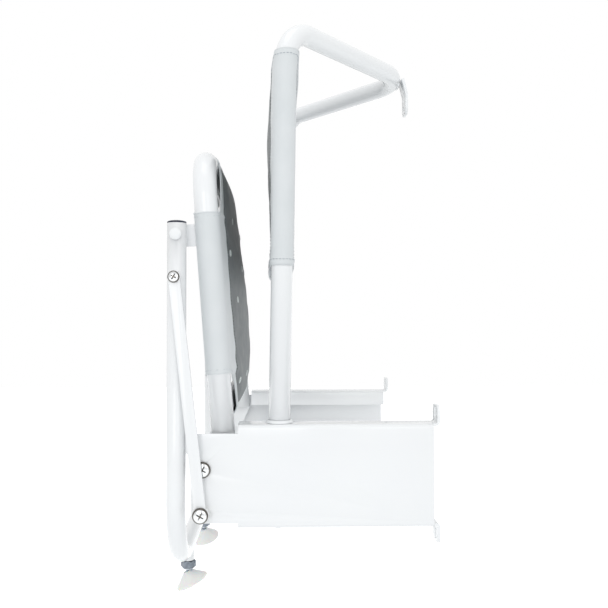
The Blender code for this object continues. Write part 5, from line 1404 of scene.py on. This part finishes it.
# %% Drain eyelets
EYELETS = [(93, 300), (158, 252), (38, 240), (123, 195), (32, 94), (132, 92)]  # x and along, in mm
EYELET_RADIUS = 2.9 * MM
EYELET_BEAD = 1.5 * MM
EYELET_RISE = 0.1 * MM
NEIGHBOUR = 2 * MM  # how far off the skin's slope is taken
pale_pvc = surface("pale_grey_pvc", ("#CDD5D4", "#DCE2E1"), cloud=8, gloss=(0.36, 0.46), patch=4,
                   relief=0.02, grain=0.8, Metallic=0.0, IOR=1.52)
spots, facings = [], []
for x, along in EYELETS:
    for side in SIDES.values():
        x_here, along_here = side * x * MM, along * MM
        spot = on_cover(x_here, along_here, 1)
        over_x = on_cover(x_here + NEIGHBOUR, along_here, 1) - spot
        over_along = on_cover(x_here, along_here + NEIGHBOUR, 1) - spot
        normal = over_along.cross(over_x).normalized()
        normal = normal if normal.y > 0 else -normal
        spots.append(tuple(spot + normal * EYELET_RISE))
        facings += list(normal)
seed = bpy.data.meshes.new("eyelet_spots")
seed.from_pydata(spots, [], [])
seed.attributes.new("facing", "FLOAT_VECTOR", "POINT").data.foreach_set("vector", facings)
values = {"Length": EYELET_RADIUS, "Radius": EYELET_BEAD, "Material": pale_pvc}
eyelets = put("drain_eyelets", tidy_mesh(grown("drain_eyelets", seed, eyelet_tree, values)), "seat",
              "white_plastic", material=pale_pvc)
print("eyelets", len(spots))

# %% The covers as finished pieces
back_cover = put("back_cover_fabric", back_mesh, "wall_frame", "grey_fabric", "back_cover")
seat_cover = put("seat_cover_fabric", seat_mesh, "seat", "grey_fabric", "seat_cover")

# %% [markdown]
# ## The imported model's own pieces
# Brackets, struts, lugs, nuts and washers already have their right shape, so they stay. Sheet steel
# that is powder coated has no knife edges, so live modifiers break the plates' edges by half a
# millimetre, and a small tree shades folds smooth while real edges stay crisp.

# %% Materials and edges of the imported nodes
PAINTS = {
    "powder_coated_steel": white_powder_coat, "zinc_steel": blue_zinc, "chrome": bright_chrome,
    "nylon": natural_nylon, "white_plastic": white_polypropylene, "black_plastic": dark_polyethylene,
    "white_rubber": soft_white_pvc, "grey_fabric": two_grey_fabric,
}
edge_tree, given, way_out = new_tree("crisp_edges", {
    "Angle": ("Float", 0.6), "Material": ("Material", None)})
merged = add_node(edge_tree, "GeometryNodeMergeByDistance",
                  {"Geometry": given["Geometry"], "Distance": MERGE_DISTANCE})
smooth = add_node(edge_tree, "GeometryNodeSetShadeSmooth", {"Geometry": merged.outputs[0]}, domain="FACE")
angle = add_node(edge_tree, "GeometryNodeInputMeshEdgeAngle")
sharp = add_node(edge_tree, "ShaderNodeMath", {0: angle.outputs[0], 1: given["Angle"]},
                 operation="GREATER_THAN")
crisp = add_node(edge_tree, "GeometryNodeSetShadeSmooth",
                 {"Geometry": smooth.outputs[0], "Selection": sharp.outputs[0], "Shade Smooth": False},
                 domain="EDGE")
finish_tree(edge_tree, crisp.outputs[0], given["Material"], way_out)
print(len(PAINTS), "paints")

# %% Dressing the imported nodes
slot_of = {row["node"]: row["material_slot"] for row in frame["record"]["subparts"]}
PLATES = ("bracket", "wall_plate", "strut", "lug", "tab")
EDGE_WIDTH = 0.5 * MM
FLAT_ANGLE = math.radians(0.5)   # faces that meet at less than this are one
EDGE_ANGLE = math.radians(40)    # a plate's edge that gets broken turns by more than this
CRISP_ANGLE = math.radians(38)   # and an edge that shows sharp by more than this
kept = 0
for name, node in NODES.items():
    if node.hide_render:
        continue
    kept += 1
    paint = PAINTS[slot_of[name]]
    for slot in node.material_slots:
        slot.material = paint
    if slot_of[name] == "powder_coated_steel" and name.endswith(PLATES):
        node.modifiers.new("weld", "WELD").merge_threshold = MERGE_DISTANCE
        planar = node.modifiers.new("planar", "DECIMATE")
        planar.decimate_type = "DISSOLVE"
        planar.angle_limit = FLAT_ANGLE
        broken = node.modifiers.new("broken_edges", "BEVEL")
        broken.width = EDGE_WIDTH
        broken.segments = 2
        broken.limit_method = "ANGLE"
        broken.angle_limit = EDGE_ANGLE
    crisp_edges = node.modifiers.new("crisp_edges", "NODES")
    crisp_edges.node_group = edge_tree
    set_inputs(crisp_edges, {"Angle": CRISP_ANGLE, "Material": paint})
print("packed nodes that stay", kept, "of", len(NODES))

# %% The object's box, before and after, and the end
full_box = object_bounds()
growth = [[round((b - a) / MM, 1) for a, b in zip(*pair)] for pair in zip(cad_box, full_box)]
print("box grows by, in mm", growth)
